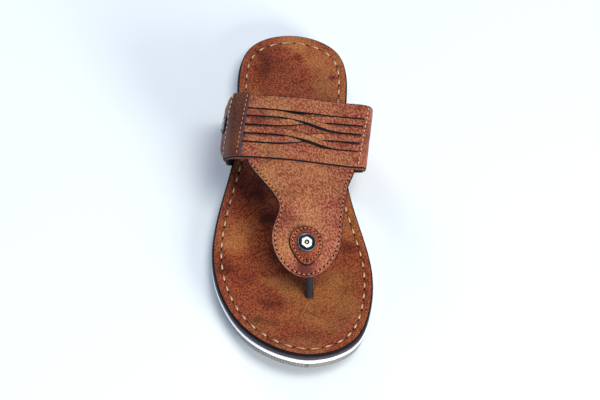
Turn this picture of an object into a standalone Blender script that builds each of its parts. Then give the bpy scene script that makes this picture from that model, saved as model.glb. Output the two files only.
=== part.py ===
"""Right-foot leather thong slipper: layered stitched sole, T-shaped strap with a slit band.

Axes: +Z up, toe towards -Y, heel towards +Y, +X on the medial (big toe) side.
The origin is on the floor at the middle of the sole's length and width.
All dimensions below are in millimetres.
"""
import math

import bmesh
import bpy
import numpy as np
from mathutils import Matrix, Vector

MM = 0.001
CLEAR = 0.3
FRAME_SHIFT = (0.0, 1.1)

# Outline of the leather footbed: half sections from toe to heel, and the two tips
TOE_TIP = (9.8, -143.2)
HEEL_TIP = (0.3, 141.9)
SOLE_STATIONS = (
    # y, lateral x, medial x
    (-127.6, -26.0, 38.8),
    (-101.4, -43.3, 49.3),
    (-61.7, -52.1, 51.8),
    (-12.1, -47.2, 40.9),
    (36.0, -38.8, 34.2),
    (90.3, -38.4, 36.7),
    (129.7, -29.0, 29.2),
)
STEPS_PER_STATION = 5
SOLE_LENGTH = HEEL_TIP[1] - TOE_TIP[1]

# Sole build-up, bottom to top, at the rim
OUTSOLE_HEEL = 7.0
OUTSOLE_FORE = 4.0
HEEL_WEDGE = (0.30, 0.65)
WHITE_LAYER = 2.9
DARK_LAYER = 2.2
FOOTBED = 1.7
TOE_SPRING = 11.8
SPRING_START = 0.62
ARCH_LIFT = 0.8
ARCH_SPAN = (0.34, 0.42, 0.46, 0.53)

# How far each layer stands out from the footbed's outline, along the sides and round the toe
SIDE_OFFSETS = {
    # layer: (top, bottom)
    "footbed": (-0.1, 0.0),
    "dark": (0.2, 0.6),
    "white": (0.5, 0.5),
    "outsole": (0.2, -0.8),
}
TOE_OFFSETS = {
    # layer: (top, bottom)
    "footbed": (-0.1, 0.0),
    "dark": (1.1, 1.5),
    "white": (1.8, 1.8),
    "outsole": (2.0, 2.0),
}
TOP, BOTTOM = 0, 1
FLARE_SPAN = (0.84, 0.97)
EDGE_BEVEL = 0.8
FLOOR_BEVEL = 1.0

# Moulded relief of the footbed: a foot-shaped dish inside the seam, and the arch cookie
DISH = (
    # y, depth
    (-143.0, 0.6),
    (-110.0, 1.8),
    (-70.0, 2.6),
    (0.0, 1.9),
    (50.0, 2.0),
    (100.0, 3.2),
    (143.0, 2.0),
)
DISH_RIM = 6.5
DISH_FLOOR = 24.0
DISH_SHARE = {"outsole": 0.3, "white": 0.6, "dark": 1.0}
ARCH_COOKIE = 2.4
ARCH_PLACE = (24.0, 38.0)
ARCH_SIZE = (13.0, 30.0)
SEAM_INSET = 5.3
SEAM_DEPTH = 0.5
SEAM_WIDTH = 1.8
CORE_INSETS = (8.0, 24.0)
FOOTBED_INSETS = (10.5, 16.0, 24.0)

# Strap surface along the instep: ridge height, fall to the medial side, share of the arch
PROFILE = (
    # y, height, tilt, arch share
    (-92.0, 31.0, 0.165, 0.35),
    (-77.0, 37.4, 0.150, 0.35),
    (-67.0, 41.4, 0.085, 0.35),
    (-57.0, 45.2, 0.040, 0.35),
    (-45.0, 49.6, 0.015, 0.40),
    (-37.0, 51.8, 0.015, 0.55),
    (-22.0, 53.7, 0.035, 0.90),
    (-10.0, 55.0, 0.045, 1.00),
    (14.0, 58.4, 0.045, 1.00),
    (40.0, 61.6, 0.045, 1.00),
)
# Cross-section of the instep band, from the lateral tongue under the footbed to the medial one
SECTION = (
    # place, x at front, x at rear, drop below the ridge, wall, cover
    ("lateral tongue", -34.0, -31.0, 44.0, 1.2, 0.0),
    ("lateral sole edge", -42.3, -39.4, 44.0, 1.2, 0.0),
    ("lateral turn", -46.2, -44.2, 41.3, 1.5, 0.8),
    ("lateral bulge", -49.5, -46.5, 31.8, 1.8, 1.2),
    ("lateral wall", -48.3, -45.6, 20.3, 1.8, 1.2),
    ("lateral shoulder", -43.5, -43.5, 7.5, 1.8, 1.2),
    ("lateral haunch", -32.3, -29.6, 2.7, 1.8, 1.2),
    ("ridge", -1.0, 1.5, 0.0, 1.8, 1.2),
    ("medial haunch", 30.7, 33.8, 3.0, 1.8, 1.2),
    ("medial shoulder", 43.3, 48.0, 6.0, 1.8, 1.2),
    ("medial wall", 45.5, 49.9, 20.2, 1.8, 1.2),
    ("medial bulge", 46.0, 48.6, 33.0, 1.8, 1.2),
    ("medial turn", 40.7, 41.6, 41.4, 1.5, 0.8),
    ("medial sole edge", 36.6, 36.8, 44.0, 1.2, 0.0),
    ("medial tongue", 27.2, 27.2, 44.0, 1.2, 0.0),
)
SECTION_STEPS = 3
DROP_TO_SOLE = 44.0
# The lateral leg is tucked in at its front edge: depth, middle row, spread in rows and in share
TUCK = 4.2
TUCK_ROW = 2.9
TUCK_ROWS = 0.9
TUCK_SHARE = 0.12
TOP_ROWS = (4.5, 9.5)
CUT_EDGE = 0.02
EDGE_COVER = 0.3
BAND_FRONT = -10.3
BAND_REAR = 39.7
FRONT_LEAN = 0.72
REAR_LEAN = 0.50
WALL = 1.8
COVER = 1.2

# Slits across the band and the four narrow strips that cross in pairs
SLIT_FIELD = (0.223, 0.778)
SLIT_ROWS = (5.45, 8.58)
SUNK_COVER = 0.1
STRIPS = (
    # share at the lateral end, share at the medial end, rise where it crosses
    (0.706, 0.557, 1.1),
    (0.568, 0.695, -0.35),
    (0.431, 0.288, 1.1),
    (0.294, 0.422, -0.35),
)
STRIP_WIDTH = 5.9
STRIP_ROOT = 0.6
STRIP_CHAMFER = (0.6, 0.35)
CROSSING = (-18.0, 24.0)
CROSSING_SPREAD = 10.0

# Outline of the thong, pairs of edge points from the toe back to below the band
THONG_TIP = (6.3, -88.1)
THONG = (
    # place, lateral x, lateral y, medial x, medial y
    ("toe corner", -7.8, -83.3, 18.4, -82.1),
    ("ball", -16.2, -67.5, 28.6, -66.8),
    ("waist", -15.0, -56.0, 29.6, -56.0),
    ("neck", -12.1, -44.6, 30.6, -44.2),
    ("flare", -17.0, -35.1, 31.9, -33.0),
    ("wing", -24.5, -25.0, 33.3, -23.5),
    ("band edge", -33.7, -10.6, 38.0, -9.6),
    ("under band", -35.8, 2.0, 38.8, 2.5),
)
THONG_STEPS = 3
THONG_COLUMNS = (0.0, 0.025, 0.2, 0.35, 0.5, 0.65, 0.8, 0.975, 1.0)
ROUND_EDGE = 0.45
THONG_SINK = 0.15

# Tab round the lateral shoulder, between two rows of the section
TAB_ROWS = (
    # outer row, inner row, at the band's front edge and at its rear
    (4.38, 5.55),
    (5.14, 5.81),
)
TAB_COLUMNS = (0.0, 0.06, 0.2, 0.35, 0.5, 0.65, 0.8, 0.94, 1.0)
TAB_THICKNESS = 1.3
TAB_ROUND = 0.4

# Toe patch, rivets and post
RIVET_PLACE = (6.1, -67.0)
PATCH_RADIUS = 10.4
PATCH_POINT = 3.1
PATCH_GAP = 0.4
PATCH_THICKNESS = 1.1
PATCH_ROUND = 0.35
RIVET_RADIUS = 6.0
RIVET_HEX = 4.4
SHANK_RADIUS = 1.5
SIDE_RIVET = (3.95, 0.60)
POST_SIZE = (5.2, 11.0)
POST_FOOT = (10.9, -84.9)
POST_HEAD = (9.3, -80.1)
POST_CORNER = 0.8
POST_SINK = 2.4
POST_HEAD_GAP = 1.1


def smoothstep(low, high, value):
    """Ease from 0 at low to 1 at high."""
    share = np.clip((np.asarray(value, float) - low) / (high - low), 0.0, 1.0)
    return share * share * (3.0 - 2.0 * share)


def smooth_curve(points, steps, closed=False):
    """Twice-smooth cubic through the points, with equal steps inside each span."""
    points = np.array(points, float)
    if closed:
        points = np.vstack([points, points[:1]])
    gaps = np.linalg.norm(np.diff(points, axis=0), axis=1)
    count = len(points)
    system = np.zeros((count, count))
    target = np.zeros_like(points)
    chords = np.diff(points, axis=0) / gaps[:, None]
    for row in range(1, count - 1):
        before, after = gaps[row - 1], gaps[row]
        system[row, row - 1:row + 2] = after, 2.0 * (before + after), before
        target[row] = 3.0 * (after * chords[row - 1] + before * chords[row])
    if closed:
        before, after = gaps[-1], gaps[0]
        system[0, 0] = 2.0 * (before + after)
        system[0, 1] = before
        system[0, -2] = after
        target[0] = 3.0 * (after * chords[-1] + before * chords[0])
        system[-1, 0] = 1.0
        system[-1, -1] = -1.0
    else:
        system[0, :2] = 2.0, 1.0
        target[0] = 3.0 * chords[0]
        system[-1, -2:] = 1.0, 2.0
        target[-1] = 3.0 * chords[-1]
    slopes = np.linalg.solve(system, target)
    samples = []
    for row in range(count - 1):
        for step in range(steps):
            u = step / steps
            samples.append(
                (1 + 2 * u) * (1 - u) ** 2 * points[row]
                + u * u * (3 - 2 * u) * points[row + 1]
                + gaps[row] * (u * (1 - u) ** 2 * slopes[row] - u * u * (1 - u) * slopes[row + 1])
            )
    if not closed:
        samples.append(points[-1])
    return np.array(samples)


def make_object(name, vertices, faces, material, cutter=False):
    """Turn points in millimetres and faces into one welded closed object."""
    mesh = bpy.data.meshes.new(name)
    shifted = np.asarray(vertices, float) + (FRAME_SHIFT[0], FRAME_SHIFT[1], 0.0)
    mesh.from_pydata((shifted * MM).tolist(), [], faces)
    body = bmesh.new()
    body.from_mesh(mesh)
    bmesh.ops.remove_doubles(body, verts=body.verts, dist=1e-7)
    bmesh.ops.dissolve_degenerate(body, edges=body.edges, dist=1e-7)
    bmesh.ops.triangulate(body, faces=body.faces)
    bmesh.ops.recalc_face_normals(body, faces=body.faces)
    body.to_mesh(mesh)
    body.free()
    mesh.materials.append(material)
    mesh.shade_smooth()
    mesh.set_sharp_from_angle(angle=math.radians(35.0))
    item = bpy.data.objects.new(name, mesh)
    bpy.context.scene.collection.objects.link(item)
    if cutter:
        item.hide_render = True
        item.display_type = "WIRE"
    return item


def combine(item, other, operation):
    """Add an exact Boolean modifier."""
    step = item.modifiers.new(other.name, "BOOLEAN")
    step.operation = operation
    step.solver = "EXACT"
    step.object = other


def make_material(name, colour, roughness, metallic=0.0):
    material = bpy.data.materials.new(name)
    material.use_nodes = True
    shader = material.node_tree.nodes["Principled BSDF"]
    shader.inputs["Base Color"].default_value = (*colour, 1.0)
    shader.inputs["Roughness"].default_value = roughness
    shader.inputs["Metallic"].default_value = metallic
    return material


def sole_outline(offset, flare=0.0):
    """Closed outline from the toe tip round the medial side, moved out along its normals by the
    offset, and round the toe by the flare as well."""
    medial = [(row[2], row[0]) for row in SOLE_STATIONS]
    lateral = [(row[1], row[0]) for row in reversed(SOLE_STATIONS)]
    curve = smooth_curve([TOE_TIP, *medial, HEEL_TIP, *lateral], STEPS_PER_STATION, closed=True)
    along = np.roll(curve, -1, axis=0) - np.roll(curve, 1, axis=0)
    along /= np.linalg.norm(along, axis=1)[:, None]
    outward = np.stack([along[:, 1], -along[:, 0]], axis=1)
    toe_share = smoothstep(*FLARE_SPAN, heel_share(curve[:, 1]))
    return curve + outward * (offset + flare * toe_share)[:, None]


def heel_share(y):
    """Place along the sole, 0 at the heel and 1 at the toe."""
    return np.clip((HEEL_TIP[1] - np.asarray(y, float)) / SOLE_LENGTH, 0.0, 1.0)


def spring(y):
    return TOE_SPRING * (np.maximum(heel_share(y) - SPRING_START, 0.0) / (1.0 - SPRING_START)) ** 2


def floor_height(y):
    """Underside: flat at heel and forefoot, lifted in the waist and at the toe."""
    start, full, leave, end = ARCH_SPAN
    share = heel_share(y)
    return spring(y) + ARCH_LIFT * smoothstep(start, full, share) * (1 - smoothstep(leave, end, share))


def outsole_top(y):
    wedge = 1.0 - smoothstep(*HEEL_WEDGE, heel_share(y))
    return OUTSOLE_FORE + (OUTSOLE_HEEL - OUTSOLE_FORE) * wedge + spring(y)


def relief(x, y, inset):
    """Height of the moulded footbed below (or above) its rim."""
    rows = np.array(DISH)
    inside = smoothstep(DISH_RIM, DISH_FLOOR, inset)
    dish = np.interp(y, rows[:, 0], rows[:, 1])
    far = ((x - ARCH_PLACE[0]) / ARCH_SIZE[0]) ** 2 + ((y - ARCH_PLACE[1]) / ARCH_SIZE[1]) ** 2
    return inside * (ARCH_COOKIE * np.exp(-far) - dish)


def sole_ring(inset, height, share):
    """One inner ring of a layer: height(y) at its rim, with its share of the moulded relief."""
    ring = sole_outline(-inset)
    x, y = ring[:, 0], ring[:, 1]
    return np.column_stack([x, y, height(y) + share * relief(x, y, inset)])


def rim_ring(layer, edge, height, bevel=0.0):
    """One ring on a layer's side, at its top or bottom edge, drawn in by a bevel."""
    side, toe = SIDE_OFFSETS[layer][edge], TOE_OFFSETS[layer][edge]
    ring = sole_outline(side - bevel, toe - side)
    return np.column_stack([ring, height(ring[:, 1])])


def stack_rings(name, rings, material):
    """Close a solid from rings that run from the middle of its underside to its top."""
    count = len(rings[0])
    vertices = np.vstack(rings)
    faces = []
    for level in range(len(rings) - 1):
        for step in range(count):
            after = (step + 1) % count
            low, high = level * count, (level + 1) * count
            faces.append((low + step, low + after, high + after, high + step))
    for level in (0, len(rings) - 1):
        base = level * count
        for step in range(count // 2):
            left, left_after = (-step) % count, -step - 1
            faces.append((base + step, base + step + 1, base + left_after % count, base + left))
    return make_object(name, vertices, faces, material)


def layer_above(thickness):
    return lambda y: outsole_top(y) + thickness


def build_outsole(material):
    """Rubber outsole: wedge under the heel, chamfered floor edge, flared at the toe."""
    rings = [sole_ring(inset, floor_height, 0.0) for inset in reversed(CORE_INSETS)]
    rings.append(rim_ring("outsole", BOTTOM, floor_height, FLOOR_BEVEL))
    rings.append(rim_ring("outsole", BOTTOM, lambda y: floor_height(y) + FLOOR_BEVEL))
    rings.append(rim_ring("outsole", TOP, outsole_top))
    rings += [sole_ring(inset, outsole_top, DISH_SHARE["outsole"]) for inset in CORE_INSETS]
    return stack_rings("outsole", rings, material)


def build_layer(name, layer, bottom, top, share_below, share_above, material):
    """A flat midsole sheet between two heights above the outsole's top."""
    low, high = layer_above(bottom), layer_above(top)
    rings = [sole_ring(inset, low, share_below) for inset in reversed(CORE_INSETS)]
    rings.append(rim_ring(layer, BOTTOM, low))
    rings.append(rim_ring(layer, TOP, high))
    rings += [sole_ring(inset, high, share_above) for inset in CORE_INSETS]
    return stack_rings(name, rings, material)


WHITE_BOTTOM = CLEAR
WHITE_TOP = WHITE_BOTTOM + WHITE_LAYER
DARK_BOTTOM = WHITE_TOP + CLEAR
DARK_TOP = DARK_BOTTOM + DARK_LAYER
FOOTBED_BOTTOM = DARK_TOP + CLEAR
FOOTBED_TOP = FOOTBED_BOTTOM + FOOTBED


def build_footbed(material):
    """Leather footbed: rounded rim, sunk seam groove and the foot-shaped dish."""
    low, high = layer_above(FOOTBED_BOTTOM), layer_above(FOOTBED_TOP)
    rings = [sole_ring(inset, low, 1.0) for inset in reversed(CORE_INSETS)]
    rings.append(rim_ring("footbed", BOTTOM, low))
    rings.append(rim_ring("footbed", TOP, layer_above(FOOTBED_TOP - EDGE_BEVEL)))
    rings.append(rim_ring("footbed", TOP, high, EDGE_BEVEL))
    rings.append(sole_ring(SEAM_INSET - SEAM_WIDTH / 2, high, 1.0))
    rings.append(sole_ring(SEAM_INSET, layer_above(FOOTBED_TOP - SEAM_DEPTH), 1.0))
    rings.append(sole_ring(SEAM_INSET + SEAM_WIDTH / 2, high, 1.0))
    rings += [sole_ring(inset, high, 1.0) for inset in FOOTBED_INSETS]
    return stack_rings("footbed", rings, material)


PROFILE_CURVE = smooth_curve(PROFILE, 6)
SECTION_CURVE = smooth_curve([row[1:4] for row in SECTION], SECTION_STEPS)
SECTION_ROWS = np.linspace(0.0, len(SECTION) - 1.0, len(SECTION_CURVE))
BEYOND_CURVE = np.vstack([
    2 * SECTION_CURVE[0] - SECTION_CURVE[1], SECTION_CURVE, 2 * SECTION_CURVE[-1] - SECTION_CURVE[-2]])
BEYOND_ROWS = np.concatenate([
    [-1.0 / SECTION_STEPS], SECTION_ROWS, [SECTION_ROWS[-1] + 1.0 / SECTION_STEPS]])


def profile(y, column):
    return np.interp(y, PROFILE_CURVE[:, 0], PROFILE_CURVE[:, column])


def section(row, column):
    return np.interp(row, BEYOND_ROWS, BEYOND_CURVE[:, column])


def thickness(row, column):
    return np.interp(row, np.arange(len(SECTION)), [entry[column] for entry in SECTION])


def strap_surface(row, ridge_y):
    """Outer face of the strap's wall, by section row and by the place along its ridge."""
    share = np.clip((ridge_y - BAND_FRONT) / (BAND_REAR - BAND_FRONT), 0.0, 1.0)
    tuck = TUCK * np.exp(-((row - TUCK_ROW) / TUCK_ROWS) ** 2 - (share / TUCK_SHARE) ** 2)
    x = (1.0 - share) * section(row, 0) + share * section(row, 1) + tuck
    lean = (1.0 - share) * FRONT_LEAN + share * REAR_LEAN
    ridge = profile(ridge_y, 1)
    foot_y = ridge_y + lean * DROP_TO_SOLE
    foot = outsole_top(foot_y) + DARK_TOP - SECTION[0][4]
    depth = np.minimum(section(row, 2) / DROP_TO_SOLE, 1.0)
    fall = depth * (ridge - foot) * profile(ridge_y, 3)
    tilt = profile(ridge_y, 2) * x * (1.0 - depth)
    return np.stack([x, ridge_y + lean * fall, ridge - tilt - fall], axis=-1)


def strap_point(row, ridge_y, height):
    """A point at a height above the strap's wall, measured along its outward normal."""
    row, ridge_y, height = np.broadcast_arrays(
        np.asarray(row, float), np.asarray(ridge_y, float), np.asarray(height, float))
    step = 0.05
    across = strap_surface(row + step, ridge_y) - strap_surface(row - step, ridge_y)
    along = strap_surface(row, ridge_y + step) - strap_surface(row, ridge_y - step)
    normal = np.cross(across, along)
    normal /= np.linalg.norm(normal, axis=-1)[..., None]
    return strap_surface(row, ridge_y) + height[..., None] * normal


def band_y(share):
    """Place along the ridge at a share of the band, 0 at its front edge and 1 at its rear."""
    return BAND_FRONT + np.asarray(share, float) * (BAND_REAR - BAND_FRONT)


def top_row(x):
    """Section row of a point on the upper side of the strap, from its x at the band's front."""
    rows = np.linspace(*TOP_ROWS, 200)
    return np.interp(x, section(rows, 0), rows)


def thong_point(x, y, height):
    """A point above the strap's wall by its place in plan."""
    x, y, height = np.broadcast_arrays(
        np.asarray(x, float), np.asarray(y, float), np.asarray(height, float))
    row = top_row(x)
    ridge_y = y
    for _ in range(6):
        ridge_y = ridge_y + y - strap_surface(row, ridge_y)[..., 1]
    return strap_point(row, ridge_y, height)


def shell(name, outer, inner, material, cutter=False, ring=False):
    """Closed wall between two point grids; in a ring the last row joins the first."""
    rows, columns = outer.shape[:2]
    size = rows * columns
    index = np.arange(size).reshape(rows, columns)
    if ring:
        index = np.vstack([index, index[:1]])
        rims = [index[:, 0], index[:, -1]]
    else:
        rims = [np.concatenate([index[0], index[1:, -1], index[-1, -2::-1], index[-2::-1, 0]])]
    faces = []
    for low, high in zip(index, index[1:]):
        for c in range(columns - 1):
            quad = low[c], low[c + 1], high[c + 1], high[c]
            faces.append(quad)
            faces.append(tuple(size + corner for corner in reversed(quad)))
    for rim in rims:
        for here, after in zip(rim, rim[1:]):
            faces.append((after, here, size + here, size + after))
    vertices = np.vstack([outer.reshape(-1, 3), inner.reshape(-1, 3)])
    faces = [tuple(int(corner) for corner in face) for face in faces]
    return make_object(name, vertices, faces, material, cutter)


def build_band(material):
    """Band wall with its cover leather, sunk where the slit strips lie."""
    low, high = SLIT_FIELD
    first, last = SLIT_ROWS
    share_step, row_step = 0.008, 0.02
    shares = [0.0, CUT_EDGE, low - share_step, low + share_step,
              high - share_step, high + share_step, 1.0 - CUT_EDGE, 1.0]
    steps = [first - row_step, first + row_step, last - row_step, last + row_step]
    rows = np.unique(np.concatenate([SECTION_ROWS, steps]))
    share, row = np.meshgrid(shares, rows, indexing="ij")
    border = np.where((share == 0.0) | (share == 1.0), EDGE_COVER, 1.0)
    sunk = (share > low) & (share < high) & (row > first) & (row < last)
    cover = np.where(sunk, SUNK_COVER, thickness(row, 5) * border)
    outer = strap_point(row, band_y(share), cover)
    inner = strap_point(row, band_y(share), -thickness(row, 4))
    return shell("upper", outer, inner, material)


def build_strip(name, lateral, medial, rise, material):
    """One slit strip: a flat bar that changes lane at the crossing, over or under its pair."""
    rows = np.linspace(SLIT_ROWS[0] - 0.05, SLIT_ROWS[1] + 0.05, 17)
    x = section(rows, 0)
    lane = lateral + (medial - lateral) * smoothstep(*CROSSING, x)
    middle = sum(CROSSING) / 2
    bulge = rise * np.exp(-((x - middle) / CROSSING_SPREAD) ** 2)
    half = STRIP_WIDTH / 2
    across = np.array([-half, STRIP_CHAMFER[0] - half, half - STRIP_CHAMFER[0], half])
    drop = np.array([STRIP_CHAMFER[1], 0.0, 0.0, STRIP_CHAMFER[1]])
    ridge_y = band_y(lane[:, None]) + across
    outer = strap_point(rows[:, None], ridge_y, COVER + bulge[:, None] - drop)
    inner = strap_point(rows[:, None], ridge_y, -STRIP_ROOT)
    return shell(name, outer, inner, material, cutter=True)


def thong_edges():
    """Edge curves of the thong from its tip back to below the band."""
    lateral = [(row[1], row[2]) for row in THONG]
    medial = [(row[3], row[4]) for row in THONG]
    curve = smooth_curve([*reversed(medial), THONG_TIP, *lateral], THONG_STEPS)
    tip = len(medial) * THONG_STEPS
    return curve[tip:], curve[tip::-1]


def build_thong(material):
    """The thong's wall, with a rounded cut edge, running in under the band."""
    lateral, medial = thong_edges()
    across = np.array(THONG_COLUMNS)
    plan = lateral[:, None] * (1 - across[:, None]) + medial[:, None] * across[:, None]
    top = np.zeros(plan.shape[:2])
    top[:, 0] = -ROUND_EDGE
    top[:, -1] = -ROUND_EDGE
    top[0, :] = -ROUND_EDGE
    under_band = plan[..., 1] > BAND_FRONT + 2.0
    top = np.where(under_band, top - THONG_SINK, top)
    bottom = np.where(under_band, THONG_SINK - WALL, -WALL)
    outer = thong_point(plan[..., 0], plan[..., 1], top)
    inner = thong_point(plan[..., 0], plan[..., 1], bottom)
    return shell("thong_wall", outer, inner, material, cutter=True)


def build_tab(material):
    """Tab of leather over the lateral shoulder, from the band's front edge to its rear."""
    along = np.linspace(0.0, 1.0, 9)[:, None]
    across = np.array(TAB_COLUMNS)
    first = (1 - along) * TAB_ROWS[0][0] + along * TAB_ROWS[1][0]
    last = (1 - along) * TAB_ROWS[0][1] + along * TAB_ROWS[1][1]
    rows = first + (last - first) * across
    base = COVER + CLEAR
    top = base + TAB_THICKNESS - np.where((across == 0.0) | (across == 1.0), TAB_ROUND, 0.0)
    return shell("lateral_tab", strap_point(rows, band_y(along), top),
                 strap_point(rows, band_y(along), base), material)


def build_patch(material):
    """Teardrop patch round the toe rivet, with its point towards the toe."""
    turns = np.linspace(0.0, 2 * math.pi, 32, endpoint=False)
    radii = np.array([0.18, 0.94, 1.0])
    point = np.clip(np.cos(turns + math.pi / 2), 0.0, 1.0) ** 7
    reach = np.outer(PATCH_RADIUS + PATCH_POINT * point, radii)
    x = RIVET_PLACE[0] + reach * np.cos(turns)[:, None]
    y = RIVET_PLACE[1] + reach * np.sin(turns)[:, None]
    top = PATCH_GAP + PATCH_THICKNESS - np.where(radii == 1.0, PATCH_ROUND, 0.0)
    return shell("toe_patch", thong_point(x, y, top), thong_point(x, y, PATCH_GAP), material,
                 ring=True)


def seat_frame(origin, above):
    """Axes at a point of the strap, with Z along its outward normal and Y to the rear."""
    up = Vector(above - origin).normalized()
    side = Vector((0.0, 1.0, 0.0)).cross(up).normalized()
    back = up.cross(side)
    axes = Matrix((side, back, up)).transposed().to_4x4()
    axes.translation = Vector(origin)
    return axes


def turned(name, steps, levels, seat, material, cutter=False):
    """Solid turned round the seat's Z axis from (radius, height) pairs, bottom to top."""
    vertices = []
    for radius, height in levels:
        for step in range(steps):
            angle = 2 * math.pi * (step + 0.5) / steps
            vertices.append(seat @ Vector((radius * math.cos(angle), radius * math.sin(angle), height)))
    faces = []
    for level in range(len(levels) - 1):
        for step in range(steps):
            after = (step + 1) % steps
            low, high = level * steps, (level + 1) * steps
            faces.append((low + step, low + after, high + after, high + step))
    faces.append(tuple(range(steps)))
    faces.append(tuple(range((len(levels) - 1) * steps, len(levels) * steps)))
    return make_object(name, np.array(vertices), faces, material, cutter)


def build_rivet(name, seat, lift, depth, material):
    """Dished cap with a six-sided boss on a plain shank; lift is the height of its seat."""
    cap = turned(name, 20, (
        (SHANK_RADIUS, -depth),
        (SHANK_RADIUS, lift),
        (RIVET_RADIUS - 0.4, lift),
        (RIVET_RADIUS, lift + 0.6),
        (RIVET_RADIUS - 0.7, lift + 1.3),
        (RIVET_RADIUS - 1.5, lift + 1.0),
    ), seat, material)
    boss = turned(name + "_boss", 6, (
        (RIVET_HEX, lift + 0.4),
        (RIVET_HEX, lift + 1.5),
        (RIVET_HEX - 0.5, lift + 1.9),
    ), seat, material, cutter=True)
    combine(cap, boss, "UNION")
    return cap


def drill(item, name, seat, low, high, material):
    """Cut the shank's hole through a wall."""
    hole = turned(name, 16, ((SHANK_RADIUS + CLEAR, low), (SHANK_RADIUS + CLEAR, high)), seat,
                  material, cutter=True)
    combine(item, hole, "DIFFERENCE")


def post_rings(grow, foot_height, head_height):
    """Four-cornered rings with cut corners along the leaning toe post."""
    width, depth = POST_SIZE[0] / 2 + grow, POST_SIZE[1] / 2 + grow
    corner = POST_CORNER
    outline = [
        (-width + corner, -depth), (width - corner, -depth), (width, -depth + corner),
        (width, depth - corner), (width - corner, depth), (-width + corner, depth),
        (-width, depth - corner), (-width, -depth + corner),
    ]
    foot, head = np.array(POST_FOOT), np.array(POST_HEAD)
    foot_z = float(outsole_top(foot[1])) + FOOTBED_TOP - POST_SINK
    head_z = float(strap_surface(top_row(head[0]), head[1])[2])
    rings = []
    for height in (foot_height, head_height):
        ring = []
        for x, y in outline:
            share = (height(foot, head, x, y) - foot_z) / (head_z - foot_z)
            centre = foot + (head - foot) * share
            ring.append((centre[0] + x, centre[1] + y, height(foot, head, x, y)))
        rings.append(ring)
    return np.array(rings)


def build_post(material, name="toe_post", grow=0.0, cutter=False):
    """Leather toe post from the footbed's slot up to the underside of the thong."""
    def foot_height(foot, head, x, y):
        if cutter:
            return 0.0
        return float(outsole_top(foot[1] + y) + DARK_TOP + relief(foot[0], foot[1] + y, 99.0)) + CLEAR

    def head_height(foot, head, x, y):
        return float(thong_point(head[0] + x, head[1] + y, -WALL - POST_HEAD_GAP)[2])

    rings = post_rings(grow, foot_height, head_height)
    faces = [tuple(range(8)), tuple(range(8, 16))]
    for step in range(8):
        after = (step + 1) % 8
        faces.append((step, after, 8 + after, 8 + step))
    return make_object(name, rings.reshape(-1, 3), faces, material, cutter)


def strap_pocket(name, first_row, last_row, material):
    """Room for a strap end between the dark midsole and the footbed."""
    inner_rows = SECTION_ROWS[(SECTION_ROWS > first_row) & (SECTION_ROWS < last_row)]
    rows = np.concatenate([[first_row], inner_rows, [last_row]])
    shares = np.linspace(-0.008, 1.008, 6)
    share, row = np.meshgrid(shares, rows, indexing="ij")
    outer = strap_point(row, band_y(share), thickness(row, 5) + CLEAR)
    inner = strap_point(row, band_y(share), -thickness(row, 4) - CLEAR * 3)
    return shell(name, outer, inner, material, cutter=True)


def main():
    for old in list(bpy.data.objects):
        bpy.data.objects.remove(old, do_unlink=True)

    leather = make_material("oiled_pull_up_leather", (0.32, 0.10, 0.045), 0.5)
    footbed_leather = make_material("footbed_leather", (0.30, 0.085, 0.035), 0.5)
    tab_leather = make_material("tab_leather", (0.22, 0.085, 0.03), 0.5)
    grey_rubber = make_material("grey_outsole_rubber", (0.24, 0.21, 0.215), 0.7)
    white_foam = make_material("white_midsole_foam", (0.88, 0.89, 0.92), 0.55)
    dark_foam = make_material("dark_midsole_foam", (0.07, 0.055, 0.07), 0.65)
    gunmetal = make_material("gunmetal_rivet", (0.35, 0.36, 0.38), 0.3, 1.0)

    build_outsole(grey_rubber)
    build_layer("midsole_white", "white", WHITE_BOTTOM, WHITE_TOP,
                DISH_SHARE["outsole"], DISH_SHARE["white"], white_foam)
    midsole_dark = build_layer("midsole_dark", "dark", DARK_BOTTOM, DARK_TOP,
                               DISH_SHARE["white"], DISH_SHARE["dark"], dark_foam)
    footbed = build_footbed(footbed_leather)

    upper = build_band(leather)
    for number, (lateral, medial, rise) in enumerate(STRIPS):
        combine(upper, build_strip("strip_%d" % number, lateral, medial, rise, leather), "UNION")
    combine(upper, build_thong(leather), "UNION")

    last = len(SECTION) - 1
    combine(midsole_dark, strap_pocket("lateral_pocket", -0.1, 2.4, dark_foam), "DIFFERENCE")
    combine(midsole_dark, strap_pocket("medial_pocket", last - 2.4, last + 0.1, dark_foam), "DIFFERENCE")

    build_patch(leather)
    build_tab(tab_leather)
    build_post(leather)
    combine(footbed, build_post(leather, "post_slot", CLEAR, cutter=True), "DIFFERENCE")

    toe_seat = seat_frame(thong_point(*RIVET_PLACE, 0.0), thong_point(*RIVET_PLACE, 1.0))
    patch_top = PATCH_GAP + PATCH_THICKNESS + CLEAR
    build_rivet("toe_rivet", toe_seat, patch_top, WALL, gunmetal)
    drill(upper, "toe_shank_hole", toe_seat, -4.0, 2.0, leather)

    row, share = SIDE_RIVET
    side_seat = seat_frame(strap_point(row, band_y(share), 0.0), strap_point(row, band_y(share), 1.0))
    build_rivet("side_rivet", side_seat, COVER + CLEAR * 1.6, WALL, gunmetal)
    drill(upper, "side_shank_hole", side_seat, -4.0, 4.0, leather)


main()
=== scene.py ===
import math

import bmesh
import bpy
import numpy as np
from mathutils import Matrix


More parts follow.
